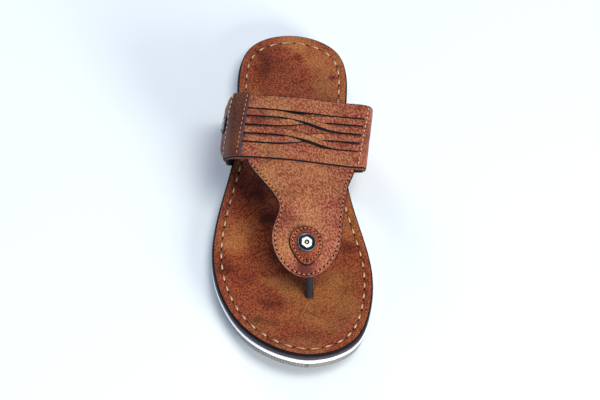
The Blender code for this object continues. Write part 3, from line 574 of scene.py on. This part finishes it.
seam_place = seam_inset(FOOT_OUTLINE[:, 1])
seam_ring = sole_ring(-seam_place)
seam_path = np.column_stack([seam_ring, footbed_surface(*seam_ring.T, seam_place)])
seam_up = np.tile([0.0, 0.0, 1.0], (len(seam_path), 1))
for piece in sew("footbed_seam_{}", seam_path, seam_up, (0.12, 0.14), 9.4, 7.6, 0.5, 0.7, thread,
                 closed=True, pull=1.0, stretch=1.3):
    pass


# Instep band: one wide strip of grained pull-up cowhide over a dark lining. It rises from between
# the footbed and the midsole on each side, and its middle is sunk where the four slit strips lie.
PROFILE = smooth_curve((
    # y, height, tilt, arch share
    (-92.0, 31.0, 0.165, 0.35),
    (-77.0, 37.4, 0.150, 0.35),
    (-67.0, 41.4, 0.085, 0.35),
    (-57.0, 45.2, 0.040, 0.35),
    (-45.0, 49.6, 0.015, 0.40),
    (-37.0, 51.8, 0.015, 0.55),
    (-22.0, 53.7, 0.035, 0.90),
    (-10.0, 55.0, 0.045, 1.00),
    (14.0, 58.4, 0.045, 1.00),
    (40.0, 61.6, 0.045, 1.00),
), 16)
SECTION = (
    # place, x at front, x at rear, drop below the ridge, wall, cover
    ("lateral tongue", -34.0, -31.0, 44.0, 1.2, 0.0),
    ("lateral sole edge", -42.3, -39.4, 44.0, 1.2, 0.0),
    ("lateral turn", -46.2, -44.2, 41.3, 1.5, 0.8),
    ("lateral bulge", -49.5, -46.5, 31.8, 1.8, 1.2),
    ("lateral wall", -48.3, -45.6, 20.3, 1.8, 1.2),
    ("lateral shoulder", -43.5, -43.5, 7.5, 1.8, 1.2),
    ("lateral haunch", -32.3, -29.6, 2.7, 1.8, 1.2),
    ("ridge", -1.0, 1.5, 0.0, 1.8, 1.2),
    ("medial haunch", 30.7, 33.8, 3.0, 1.8, 1.2),
    ("medial shoulder", 43.3, 48.0, 6.0, 1.8, 1.2),
    ("medial wall", 45.5, 49.9, 20.2, 1.8, 1.2),
    ("medial bulge", 46.0, 48.6, 33.0, 1.8, 1.2),
    ("medial turn", 40.7, 41.6, 41.4, 1.5, 0.8),
    ("medial sole edge", 36.6, 36.8, 44.0, 1.2, 0.0),
    ("medial tongue", 27.2, 27.2, 44.0, 1.2, 0.0),
)
SECTION_CURVE = smooth_curve([row[1:4] for row in SECTION], 16)
SECTION_ROWS = np.linspace(0.0, len(SECTION) - 1.0, len(SECTION_CURVE))
BAND_FRONT, BAND_REAR = -10.3, 39.7
BAND_WIDTH, EDGE_SHARE = BAND_REAR - BAND_FRONT, 0.03
FRONT_LEAN, REAR_LEAN = 0.72, 0.50
DROP_TO_SOLE, COVER, WALL = 44.0, 1.2, 1.8
TUCK, TUCK_ROW, TUCK_ROWS, TUCK_SHARE = 4.2, 2.9, 0.9, 0.12
FIELD_LOW, FIELD_HIGH = 0.223, 0.778
FIRST_ROW, LAST_ROW = 5.45, 8.58
SHARE_STEP, ROW_STEP = 0.002, 0.004


def strap_surface(row, ridge_y):
    """The strap's wall by section row and by place along its ridge: x runs straight from the front
    section to the rear one, plus a bell-shaped tuck at the lateral leg's front edge; the height is
    the ridge less its tilt to the medial side and less the section's drop, whose full depth lands
    on the dark midsole."""
    share = np.clip((ridge_y - BAND_FRONT) / BAND_WIDTH, 0.0, 1.0)
    front_x, rear_x, drop = (np.interp(row, SECTION_ROWS, SECTION_CURVE[:, k]) for k in range(3))
    ridge, tilt, arch = (np.interp(ridge_y, PROFILE[:, 0], PROFILE[:, k]) for k in (1, 2, 3))
    tuck = TUCK * bell(row, TUCK_ROW, TUCK_ROWS) * bell(share, 0.0, TUCK_SHARE)
    x = (1.0 - share) * front_x + share * rear_x + tuck
    lean = (1.0 - share) * FRONT_LEAN + share * REAR_LEAN
    foot = outsole_top(ridge_y + lean * DROP_TO_SOLE) + DARK_TOP - 1.2
    depth = np.minimum(drop / DROP_TO_SOLE, 1.0)
    fall = depth * (ridge - foot) * arch
    return np.stack([x, ridge_y + lean * fall, ridge - tilt * x * (1.0 - depth) - fall], axis=-1)


def strap_point(row, ridge_y, height):
    """A point at a height above the strap's wall, along the cross product of its two slopes."""
    row, ridge_y, height = np.broadcast_arrays(*(np.asarray(v, float) for v in (row, ridge_y, height)))
    across = strap_surface(row + 0.04, ridge_y) - strap_surface(row - 0.04, ridge_y)
    back = strap_surface(row, ridge_y + 0.4) - strap_surface(row, ridge_y - 0.4)
    return strap_surface(row, ridge_y) + height[..., None] * unit(np.cross(across, back))


def band_y(share):
    """Place along the ridge at a share of the band's width, 0 at its front edge."""
    return BAND_FRONT + share * BAND_WIDTH


def hand(row, ridge_y):
    """The leather's slight unevenness: three crossed sine waves, 0.12 mm high in all."""
    return (0.05 * np.sin(2.9 * row + 0.21 * ridge_y) + 0.04 * np.sin(0.47 * ridge_y - 4.1 * row)
            + 0.03 * np.sin(7.7 * row + 0.9 + 0.11 * ridge_y))


# Pull-up cowhide: a close pebble grain, red brown with ochre where it is bent and waxed.
strap_leather = leather("grained_pull_up_cowhide", ("#933A29", "#B2703E", "#521A0F", "#CC9268"),
                        0.9, 121.0, 2.3, 0.48, 0.5)
# Under layer: the same hide left dull and unwaxed, greyer, with an open grain.
under_leather = leather("dull_brown_under_layer", ("#6B3826", "#845030", "#44201A", "#8F5A40"),
                        1.5, 0.0, 1.0, 0.6, 0.2)
# Suede-side lining: charcoal, with no gloss and a short nap.
lining, *_ = mottled("dark_pigskin_lining", 700.0, 3.0, "#1D1A1D", "#363238", 0.0, {"Roughness": 0.85})

# The knife's wander along the rear slit and the front cut edge, as shares of the band's width
CUT_LINE_ROWS = (5.6, 6.2, 6.9, 7.6, 8.2, 8.7, 9.2)
REAR_SLIT_SHIFT = (0.009, 0.003, -0.018, -0.015, -0.012, -0.008, 0.0)
FRONT_EDGE_SHIFT = (-0.008, -0.002, -0.002, -0.014, -0.028, -0.020, -0.004)
both_sides = np.array([-1, 1])
rows = np.unique(np.hstack([np.linspace(0.0, 14.0, 225), FIRST_ROW + ROW_STEP * both_sides,
                            LAST_ROW + ROW_STEP * both_sides]))
shares = np.unique(np.hstack([
    np.linspace(EDGE_SHARE, 1.0 - EDGE_SHARE, 48), FIELD_LOW + SHARE_STEP * both_sides,
    FIELD_HIGH + SHARE_STEP * both_sides, FIELD_HIGH - 8 * SHARE_STEP]))
wall, cover = (np.interp(rows, np.arange(len(SECTION)), [entry[k] for entry in SECTION])[:, None]
               for k in (4, 5))
row = rows[:, None]
front_wander = np.interp(row, CUT_LINE_ROWS, FRONT_EDGE_SHIFT)
rear_wander = np.interp(row, CUT_LINE_ROWS, REAR_SLIT_SHIFT)
sunk = (shares > FIELD_LOW) & (shares < FIELD_HIGH) & (row > FIRST_ROW) & (row < LAST_ROW)
row_shift = (0.33 * shares - 0.16) * bell(row, LAST_ROW, 0.35)
share_shift = (front_wander * np.interp(shares, [EDGE_SHARE, 0.15], [1, 0])
               + rear_wander * np.interp(shares, [FIELD_LOW, FIELD_HIGH, 1.0], [0, 1, 0]))
top = strap_point(row + row_shift, band_y(shares + share_shift),
                  np.where(sunk, 0.15, cover + hand(row, band_y(shares))))
REAR_EDGE = (
    # mm past the last column, share of the way from the outer face to the inner one
    (0.7, 0.02), (1.2, 0.08), (1.5, 0.2), (1.6, 0.4), (1.6, 0.6), (1.5, 0.8), (1.2, 0.92), (0.7, 0.98))
FRONT_EDGE = (
    # the outer layer's rounded and painted edge, then the under layer's leather, 0.9 mm ahead of it
    (0.7, 0.02), (1.15, 0.07), (1.4, 0.16), (1.45, 0.27), (1.4, 0.36), (1.55, 0.4), (2.1, 0.43), (2.3, 0.5),
    (2.3, 0.62), (2.2, 0.72), (1.9, 0.82), (1.4, 0.92), (0.8, 0.98))
INNER_COLUMNS = 18


def cut_edge(share, sign, profile):
    """Cut edge from the outer face to the inner one: each pair of the profile is a distance past the
    last column and a share of the wall's thickness."""
    reach, depth = np.array(profile).T
    return strap_point(row, band_y(share) + sign * reach, cover - (wall + cover) * depth)


inner_shares = np.linspace(1.0 - EDGE_SHARE, EDGE_SHARE, INNER_COLUMNS)
loop = np.hstack([
    top, cut_edge(1.0 - EDGE_SHARE, 1.0, REAR_EDGE), strap_point(row, band_y(inner_shares), -wall),
    cut_edge(EDGE_SHARE + front_wander, -1.0, FRONT_EDGE)[:, ::-1]])
# Outer face, painted rear edge, lining, the under layer's front, the painted front edge
column_finish = np.repeat([0, 1, 2, 3, 1, 0], [len(shares), len(REAR_EDGE), INNER_COLUMNS + 3, 5, 4, 1])
face_row = (row[:-1] + row[1:]) / 2
face_share = np.full(loop.shape[1], -1.0)
face_share[:len(shares) - 1] = (shares[:-1] + shares[1:]) / 2
# The slits' cut sides are painted; where the strips cross, dark paint runs onto the floor as painted shade
shade_smear = 0.03 * bell(np.interp(face_row, SECTION_ROWS, SECTION_CURVE[:, 0]), -1.0, 8.0)
paint_and_shade = (np.abs(face_share - FIELD_HIGH) < SHARE_STEP) | (np.abs(face_share - FIELD_LOW) < SHARE_STEP)
paint_and_shade = paint_and_shade | ((face_share > FIELD_HIGH - shade_smear) & (face_share < FIELD_HIGH))
in_slits = (face_row > FIRST_ROW - ROW_STEP) & (face_row < LAST_ROW + ROW_STEP)
# Tan and deep patches of wear; the lateral leg at (-56, 24) is darkened as painted shade.
wear_and_shade = spots(loop, (
    (2.0, 44.0, 22.0, 0.35), (-30.0, 30.0, 12.0, 0.3), (30.0, -6.0, 16.0, 0.35), (-24.0, 0.0, 14.0, 0.2),
    (8.0, 4.0, 12.0, -0.2), (-56.0, 24.0, 17.0, -2.2), (47.0, 8.0, 12.0, -0.3)))
band = skin("instep_band_leather", loop, [strap_leather, edge_paint, lining, under_leather],
            finish=np.where(in_slits & paint_and_shade, 1, column_finish), marks={"wear_and_shade": wear_and_shade})
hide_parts("upper")


# Slit strips: four narrow lanes of the same leather. In each pair one strip changes lanes over
# the other in the middle of the band; the cut sides are painted dark, and near the crossing the
# dark paint reaches over the raised strips' edges as painted shade.
STRIPS = (
    # name, share at the lateral end, share at the medial end, rise where it crosses, middle of the
    # stretch where painted shade comes over the front edge, its width there and on the rear edge
    ("slit_strip_a", 0.709, 0.557, 0.9, 12.0, 0.75, 0.6),
    ("slit_strip_b", 0.568, 0.697, -0.35, 0.0, 0.0, 0.0),
    ("slit_strip_c", 0.431, 0.288, 0.9, 8.0, 0.75, 0.0),
    ("slit_strip_d", 0.294, 0.422, -0.35, 0.0, 0.0, 0.0),
)
STRIP_HALF, STRIP_CORNER, FIRST_TOP, LAST_TOP = 2.9, 0.55, 5, 11
strip_rows = np.linspace(FIRST_ROW - 0.02, LAST_ROW + 0.12, 150)[:, None]
strip_x = np.interp(strip_rows, SECTION_ROWS, SECTION_CURVE[:, 0])
turns = np.linspace(0.0, math.pi / 2, 5)
flat_half = STRIP_HALF - STRIP_CORNER
right_across = flat_half + STRIP_CORNER * np.sin(turns)
right_drop = STRIP_CORNER * (1.0 - np.cos(turns))
across = np.hstack([-right_across[::-1], np.linspace(-flat_half, flat_half, 9)[1:-1], right_across,
                    STRIP_HALF * np.array([1.0, 0.5, -0.5, -1.0])])
drop = np.hstack([right_drop[::-1], np.zeros(7), right_drop, np.full(4, COVER + 0.3)])
strip_face = np.arange(len(across))
strip_finish = (strip_face < FIRST_TOP) | (strip_face >= LAST_TOP)
for name, lateral_lane, medial_lane, rise, shade_paint_x, front_shade_paint, rear_shade_paint in STRIPS:
    lane = lateral_lane + (medial_lane - lateral_lane) * smoothstep(-19.0, 24.0, strip_x)
    bulge = rise * bell(strip_x, 3.0, 10.0)
    tip = 0.35 * bell(strip_x, 8.0, 9.0) * np.sign(rise)
    spread = np.tile(across, (len(strip_x), 1))
    spread[:, [FIRST_TOP]] = 0.03 - flat_half + front_shade_paint * bell(strip_x, shade_paint_x, 13.0)
    spread[:, [LAST_TOP]] = flat_half - 0.03 - rear_shade_paint * bell(strip_x, -9.0, 9.0)
    ridge_y = band_y(lane) + spread
    upper_side = 0.18 * (1.0 - (spread / STRIP_HALF) ** 2) + hand(strip_rows, ridge_y)
    height = COVER + bulge - drop + np.where(drop > COVER, 0.0, upper_side) - tip * spread / STRIP_HALF
    tone = 0.2 * np.sin(5.0 * strip_rows + 9.0 * lateral_lane) + 0.6 * bell(strip_x, 4.0, 12.0)
    strip = skin(name, strap_point(strip_rows, ridge_y, height), [strap_leather, edge_paint],
                 finish=strip_finish, marks={"wear_and_shade": tone})


# Tongue: the piece of the same leather that runs from under the band to the toe post, with a
# stitched and dark-painted edge.
TONGUE = (
    # place, lateral x, lateral y, medial x, medial y
    ("toe corner", -7.8, -83.3, 18.4, -82.1),
    ("ball", -16.2, -67.5, 28.6, -66.8),
    ("waist", -15.0, -56.0, 29.6, -56.0),
    ("neck", -12.1, -44.6, 30.6, -44.2),
    ("flare", -17.0, -35.1, 31.9, -33.0),
    ("wing", -24.5, -25.0, 33.3, -23.5),
    ("band edge", -33.7, -10.6, 38.0, -9.6),
    ("under band", -35.8, 2.0, 38.8, 2.5),
)
TONGUE_TIP = (6.3, -88.1)
edge_points = [entry[3:] for entry in reversed(TONGUE)] + [TONGUE_TIP] + [entry[1:3] for entry in TONGUE]
TONGUE_OUTLINE = smooth_curve(edge_points, 14)
middle_index = len(TONGUE) * 14
lateral_edge, medial_edge = TONGUE_OUTLINE[middle_index:], TONGUE_OUTLINE[middle_index::-1]
top_rows = np.linspace(4.5, 9.5, 400)
top_x = np.interp(top_rows, SECTION_ROWS, SECTION_CURVE[:, 0])


def tongue_point(x, y, height):
    """A point above the strap's wall by its place in plan: the row that has this x at the band's
    front, and the ridge place found by six corrections of the lean."""
    row = np.interp(x, top_x, top_rows)
    ridge_y = y
    for _ in range(6):
        ridge_y = ridge_y + y - strap_surface(row, ridge_y)[..., 1]
    return strap_point(row, ridge_y, height)


EDGE_ROUND = 0.6
across = np.hstack([[0.0, 0.004, 0.01, 0.02, 0.035], np.linspace(0.06, 0.94, 40),
                    [0.965, 0.98, 0.99, 0.996, 1.0]])
plan = lateral_edge[:, None] * (1 - across[:, None]) + medial_edge[:, None] * across[:, None]
plan_x, plan_y = plan[..., 0], plan[..., 1]
fine_x, fine_y = smooth_curve(edge_points, 60).T
depth_in = np.hypot(plan_x[..., None] - fine_x, plan_y[..., None] - fine_y).min(axis=-1)
drop = EDGE_ROUND - np.sqrt(np.maximum(EDGE_ROUND ** 2 - np.maximum(EDGE_ROUND - depth_in, 0.0) ** 2, 0.0))
pressed = 0.22 * bell(depth_in, 2.0, 0.7)
under = smoothstep(BAND_FRONT + 0.5, BAND_FRONT + 4.0, plan_y)
ripple = 0.06 * np.sin(plan_x / 3.1 + plan_y / 4.7) + 0.042 * np.sin(plan_x / 1.9 - plan_y / 2.9)
outer = tongue_point(plan_x, plan_y, ripple * smoothstep(1.0, 5.0, depth_in) - drop - pressed - 0.5 * under)
side_high = tongue_point(plan_x, plan_y, -EDGE_ROUND - 0.1)
inner = tongue_point(plan_x, plan_y, -WALL)
loop = np.hstack([outer, side_high[:, -1:], inner[:, ::-1], side_high[:, :1]])
spot, count, columns = np.arange(loop.shape[1]), outer.shape[1], loop.shape[1]
column_finish = np.select([(spot >= 2) & (spot < count - 3), (spot > count) & (spot < columns - 2)],
                          [0, 2], 1)
wear_and_shade = spots(loop, (
    (6.0, -20.0, 13.0, 0.45), (-8.0, -74.0, 9.0, 0.7), (22.0, -61.0, 9.0, 0.1), (24.0, -26.0, 12.0, 0.35),
    (4.0, -46.0, 10.0, 0.3), (-20.0, -22.0, 9.0, 0.3), (28.0, -44.0, 9.0, -0.4), (-6.0, -50.0, 8.0, -0.35),
    (6.0, -85.0, 8.0, -1.4)))
tongue = skin("tongue_leather", loop, [strap_leather, edge_paint, lining], finish=column_finish,
              pair_caps=True, marks={"wear_and_shade": wear_and_shade})
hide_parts("upper")


def above_wall(point, x, y, height):
    """A place at a height above the leather, by one of its point functions, and the way up there."""
    place = point(x, y, height)
    return place, point(x, y, height + 1.0) - place


# Tongue seam: matching brown thread in short stitches 2 mm in from the edge.
# Twisted tan thread, a little lighter than the leather.
brown_thread, *_ = mottled("waxed_tan_polyester_thread", 1500.0, 2.0, "#8E5238", "#CC9670", 0.0,
                           {"Roughness": 0.6})
tangent = unit(np.gradient(TONGUE_OUTLINE, axis=0))
inward = np.stack([tangent[:, 1], -tangent[:, 0]], axis=1)
seam_plan = TONGUE_OUTLINE + 2.0 * inward
seam_plan = seam_plan[seam_plan[:, 1] < BAND_FRONT + 1.0]
seam = above_wall(tongue_point, *seam_plan.T, -0.15)
for piece in sew("tongue_seam_{}", *seam, (0.0, 0.05), 3.3, 2.2, 0.33, 0.56, brown_thread, stretch=1.5):
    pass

# Band seam: fine cream stitches down the medial end of the slits, which hold the band's raised layer
# to the thin one under it.
seam_share = np.linspace(0.02, 0.98, 60)
seam = above_wall(strap_point, 8.57 + 0.24 * seam_share, band_y(seam_share), COVER + 0.02)
for piece in sew("band_seam_{}", *seam, (0.05, 0.0), 3.9, 2.4, 0.28, 0.42, thread):
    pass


# Lateral tab: a narrow strip of darker, ochre-brown leather sewn over the shoulder of the band, with
# cream thread at its outer edge and tan thread at its inner one. Its edges are painted slate.
TAB_ROWS = (
    # row at the band's front edge, row at its rear edge: outer edge, then inner edge
    (4.38, 5.14),
    (5.55, 5.81),
)
TAB_THICKNESS, TAB_CORNER = 1.3, 0.45
TAB_BASE = COVER + 0.25


def tab_point(place, along, height):
    """A point at a height above the wall: place runs from 0 at the tab's outer edge to 1 at its
    inner one, and along from 0 at the band's front edge to 1 at its rear."""
    first, last = (front + (rear - front) * along for front, rear in TAB_ROWS)
    return strap_point(first + (last - first) * place, band_y(along), height)


# Vegetable-tanned strip: browner than the band, dull, with a close smooth grain.
tab_leather = leather("ochre_brown_tab_leather", ("#582819", "#76461E", "#32140F", "#764632"),
                      0.9, 80.0, 1.5, 0.5, 0.2)
# Thick edge paint: blue slate, satin.
slate_paint, *_ = new_material("slate_edge_paint", {"Base Color": linear("#2E3846"), "Roughness": 0.45})
along = np.linspace(-0.004, 1.004, 70)[:, None]
turns = np.linspace(0.0, math.pi / 2, 5)
bevel = 0.025 * (1 - np.cos(turns))
fall = TAB_CORNER * (1 - np.sin(turns))
reach = np.hstack([[0.0], bevel, np.linspace(0.04, 0.96, 22), 1.0 - bevel[::-1], [1.0]])
drop = np.hstack([[TAB_THICKNESS], fall, np.zeros(22), fall[::-1], [TAB_THICKNESS]])
end_round = TAB_CORNER * (smoothstep(0.97, 1.004, along) + 1.0 - smoothstep(-0.004, 0.03, along))
height = TAB_THICKNESS - drop + 0.12 * np.sin(math.pi * reach) - (drop < TAB_THICKNESS - 0.2) * end_round
outer = tab_point(reach, along, TAB_BASE + np.maximum(height, 0.0))
inner = tab_point(reach[-2:0:-1], along, TAB_BASE)
loop = np.hstack([outer, inner])
spot = np.arange(loop.shape[1])
wear_and_shade = spots(loop, ((-42.0, 36.0, 9.0, 0.4), (-38.0, 5.0, 9.0, 0.5)))
tab = skin("lateral_tab_leather", loop, [tab_leather, slate_paint], pair_caps=True,
           finish=(spot < 4) | (spot >= outer.shape[1] - 7), marks={"wear_and_shade": wear_and_shade})
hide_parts("lateral_tab")
for names, place, material in (
        ("tab_seam_{}_outer", 0.07, thread), ("tab_seam_{}_inner", 0.86, brown_thread)):
    seam = above_wall(tab_point, place, np.linspace(0.015, 0.985, 60), TAB_BASE + TAB_THICKNESS + 0.05)
    for piece in sew(names, *seam, (0.05, 0.0), 3.8, 2.6, 0.28, 0.42, material):
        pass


# Toe patch: a teardrop of the footbed's leather under the toe rivet, its point towards the toe and
# split by a short cut, with a ring of close holes and a dark edge.
RIVET_PLACE = np.array((6.1, -67.0))
PATCH_PROFILE = (
    # share of the way out from the rivet, height above the tongue
    (0.12, 1.5), (0.45, 1.5), (0.7, 1.5), (0.78, 1.45), (0.82, 1.35), (0.86, 1.45),
    (0.92, 1.5), (0.955, 1.45), (0.98, 1.3), (0.995, 1.05), (1.0, 0.7), (1.0, 0.3))
patch_turns = np.linspace(0.0, 2 * math.pi, 97)[:-1]
patch_reach = 11.1 + 2.6 * np.clip(np.cos(patch_turns + math.pi / 2), 0.0, 1.0) ** 7
patch_rim = patch_reach * np.stack([np.cos(patch_turns), np.sin(patch_turns)])
shares, lift = np.array(PATCH_PROFILE).T
patch_x, patch_y = patch_rim[:, :, None] * shares
patch_y = np.where(patch_y > 0.0, 0.95 * patch_y, patch_y) + RIVET_PLACE[1]
patch_x = patch_x + RIVET_PLACE[0]
back = [-1, 3, 0]
under_side = tongue_point(patch_x[:, back], patch_y[:, back], 0.25)
loop = np.hstack([tongue_point(patch_x, patch_y, lift), under_side])
wear_and_shade = spots(loop, ((6.0, -77.0, 8.0, -0.35), (6.0, -60.0, 10.0, -0.5)))
patch = skin("toe_patch_leather", loop, [footbed_leather, edge_paint], closed=True,
             finish=np.arange(loop.shape[1]) >= 7, marks={"wear_and_shade": wear_and_shade})
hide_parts("toe_patch")
ring = RIVET_PLACE[:, None] + 0.82 * patch_rim
seam = above_wall(tongue_point, *ring, 1.42)
for piece in sew("patch_seam_{}", *seam, (-0.1, 0.0), 2.55, 1.5, 0.3, 0.66, brown_thread, closed=True):
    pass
# The cut is a thin near-black bead: painted shade in the slit.
cut = above_wall(tongue_point, RIVET_PLACE[0] + 0.2, RIVET_PLACE[1] + np.linspace(-13.2, -8.9, 12), 1.5)
slit = stitches("patch_slit", *cut, 3.9, 3.7, 0.3, hole_shade, bow=0.4)


# Rivets: a dished gunmetal ring with a bright hexagon stud pressed into it. One holds the tongue
# to the toe post, and one sits on the lateral leg of the band.
RING_PROFILE = (
    # radius, height: seat, rim, then the blackened dish
    (0.0, -0.2), (5.5, -0.2), (6.0, 0.0), (6.3, 0.35), (6.3, 0.8), (6.1, 1.15), (5.75, 1.3), (5.4, 1.2),
    (5.2, 0.95), (5.0, 0.55), (4.6, 0.35), (3.0, 0.3), (0.0, 0.3))
STUD_PROFILE = (
    # radius at a corner, height: hexagon, then its round bore and the pin in it
    (0.0, 0.25), (4.1, 0.25), (4.1, 1.25), (3.98, 1.45), (3.8, 1.56), (3.74, 1.58), (3.3, 1.6), (1.85, 1.61),
    (1.75, 1.6), (1.6, 1.55), (1.45, 1.1), (0.95, 1.05), (0.75, 1.3), (0.45, 1.42), (0.0, 1.45))
STUD_STEPS, BORE_RADIUS = 48, 1.9
# Plated die casting: dark grey metal, polished on its rim.
gunmetal, *_ = new_material("gunmetal_plated_zinc", {
    "Base Color": linear("#565B66"), "Metallic": 1.0, "Roughness": 0.34})
# The dish round the stud and the stud's bore are drawn near black.
blackened, *_ = new_material("blackened_recess", {
    "Base Color": linear("#23262B"), "Metallic": 0.8, "Roughness": 0.4})
# Polished nickel: a warm light grey with soft reflections.
bright_nickel, *_ = new_material("polished_nickel_stud", {
    "Base Color": linear("#A6A096"), "Metallic": 1.0, "Roughness": 0.3})


def turned(profile, steps, seat, up, flat):
    """Profile of (radius, height) pairs turned about up at the seat. Flat scales the radii past the
    bore, step by step."""
    side = unit(np.cross([0.0, 1.0, 0.0], up))
    radius, height = np.array(profile).T[:, :, None, None]
    radius = np.where(radius > BORE_RADIUS, radius * flat, radius)
    return seat + radius * circle(side, np.cross(up, side), steps, 0.5) + height * up


angle = 2 * math.pi * (np.arange(STUD_STEPS) + 0.5) / STUD_STEPS
hexagon = math.cos(math.pi / 6) / np.cos((angle + math.pi / 6) % (math.pi / 3) - math.pi / 6)[:, None]
for name, (seat, up) in (
        ("toe_rivet", above_wall(tongue_point, *RIVET_PLACE, 1.55)),
        ("side_rivet", above_wall(strap_point, 3.95, band_y(0.6), COVER + 0.1))):
    for tail, profile, steps, flat, metal, dark_end in (
            ("_ring", RING_PROFILE, 64, 1.0, gunmetal, 12),
            ("_stud", STUD_PROFILE, STUD_STEPS, hexagon, bright_nickel, 11)):
        level = np.arange(len(profile) - 1)[:, None]
        piece = skin(name + tail, turned(profile, steps, seat, up, flat), [metal, blackened],
                     finish=(level >= 8) & (level < dark_end))
        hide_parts(name)


# Toe post: a leather strap end folded edge-on, between the footbed's slot and the tongue. Its cut
# front is painted dark blue-grey; its sides show brown leather.
POST_SIZE, POST_SQUARENESS = np.array((5.2, 11.0)), 0.6
POST_FOOT, POST_HEAD = np.array(((10.9, -84.9), (9.3, -80.1)))
post_turns = np.linspace(0.0, 2 * math.pi, 49)[:-1]


def post_outline(grow=0.0):
    """Rounded rectangle round the post: its half sizes plus grow, times the cosine and the sine,
    each at the squareness power with its sign kept."""
    wave = np.stack([np.cos(post_turns), np.sin(post_turns)], axis=1)
    return (POST_SIZE / 2 + grow) * np.sign(wave) * np.abs(wave) ** POST_SQUARENESS


# Strap leather seen from its side: plain brown, with a coarser grain.
post_leather = leather("toe_post_leather", ("#7A4028", "#96603A", "#4A2216", "#A06A48"),
                       1.5, 90.0, 1.2, 0.5, 0.3)
# Several coats of edge paint, nearly black with a blue cast, satin.
post_paint, *_ = new_material("dark_blue_grey_edge_paint", {
    "Base Color": linear("#162029"), "Roughness": 0.5})
levels = np.linspace(0.0, 1.0, 14)[:, None]
centre = POST_FOOT + levels * (POST_HEAD - POST_FOOT)
ring_x = centre[:, :1] + post_outline()[:, 0] * (1.0 + 0.05 * np.cos(2 * math.pi * levels))
ring_y = centre[:, 1:] + post_outline()[:, 1]
foot_z = outsole_top(ring_y[0]) + DARK_TOP + relief(ring_x[0], ring_y[0], 99.0) + 0.5
head_z = tongue_point(ring_x[-1], ring_y[-1], -WALL - 0.15)[:, 2]
body = np.stack([ring_x, ring_y, foot_z + levels * (head_z - foot_z)], axis=-1)
ends = body[[0, -1]].mean(axis=1, keepdims=True) + np.zeros((1, len(post_turns), 1))
post = skin("toe_post_leather", np.vstack([ends[:1], body, ends[1:]]), [post_leather, post_paint],
            finish=np.sin(post_turns + math.pi / 48) < -0.1)
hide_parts("toe_post")

# The post's slot in the footbed: a dark lip round its foot, where the cut leather turns down and the
# post goes in. Its near black is painted shade of the slot.
lip = []
for grow, lift in ((0.02, -0.2), (0.1, 0.03), (0.3, 0.04), (0.5, -0.1)):
    lip_x, lip_y = (POST_FOOT + post_outline(grow)).T
    lip.append(np.stack([lip_x, lip_y, footbed_surface(lip_x, lip_y, 40.0) + lift], axis=-1))
LIP_DEPTH = [0.0, 0.0, 0.3]
slot_lip = skin("toe_post_slot", [*lip, lip[-1] - LIP_DEPTH, lip[0] - LIP_DEPTH], [hole_shade], closed=True)
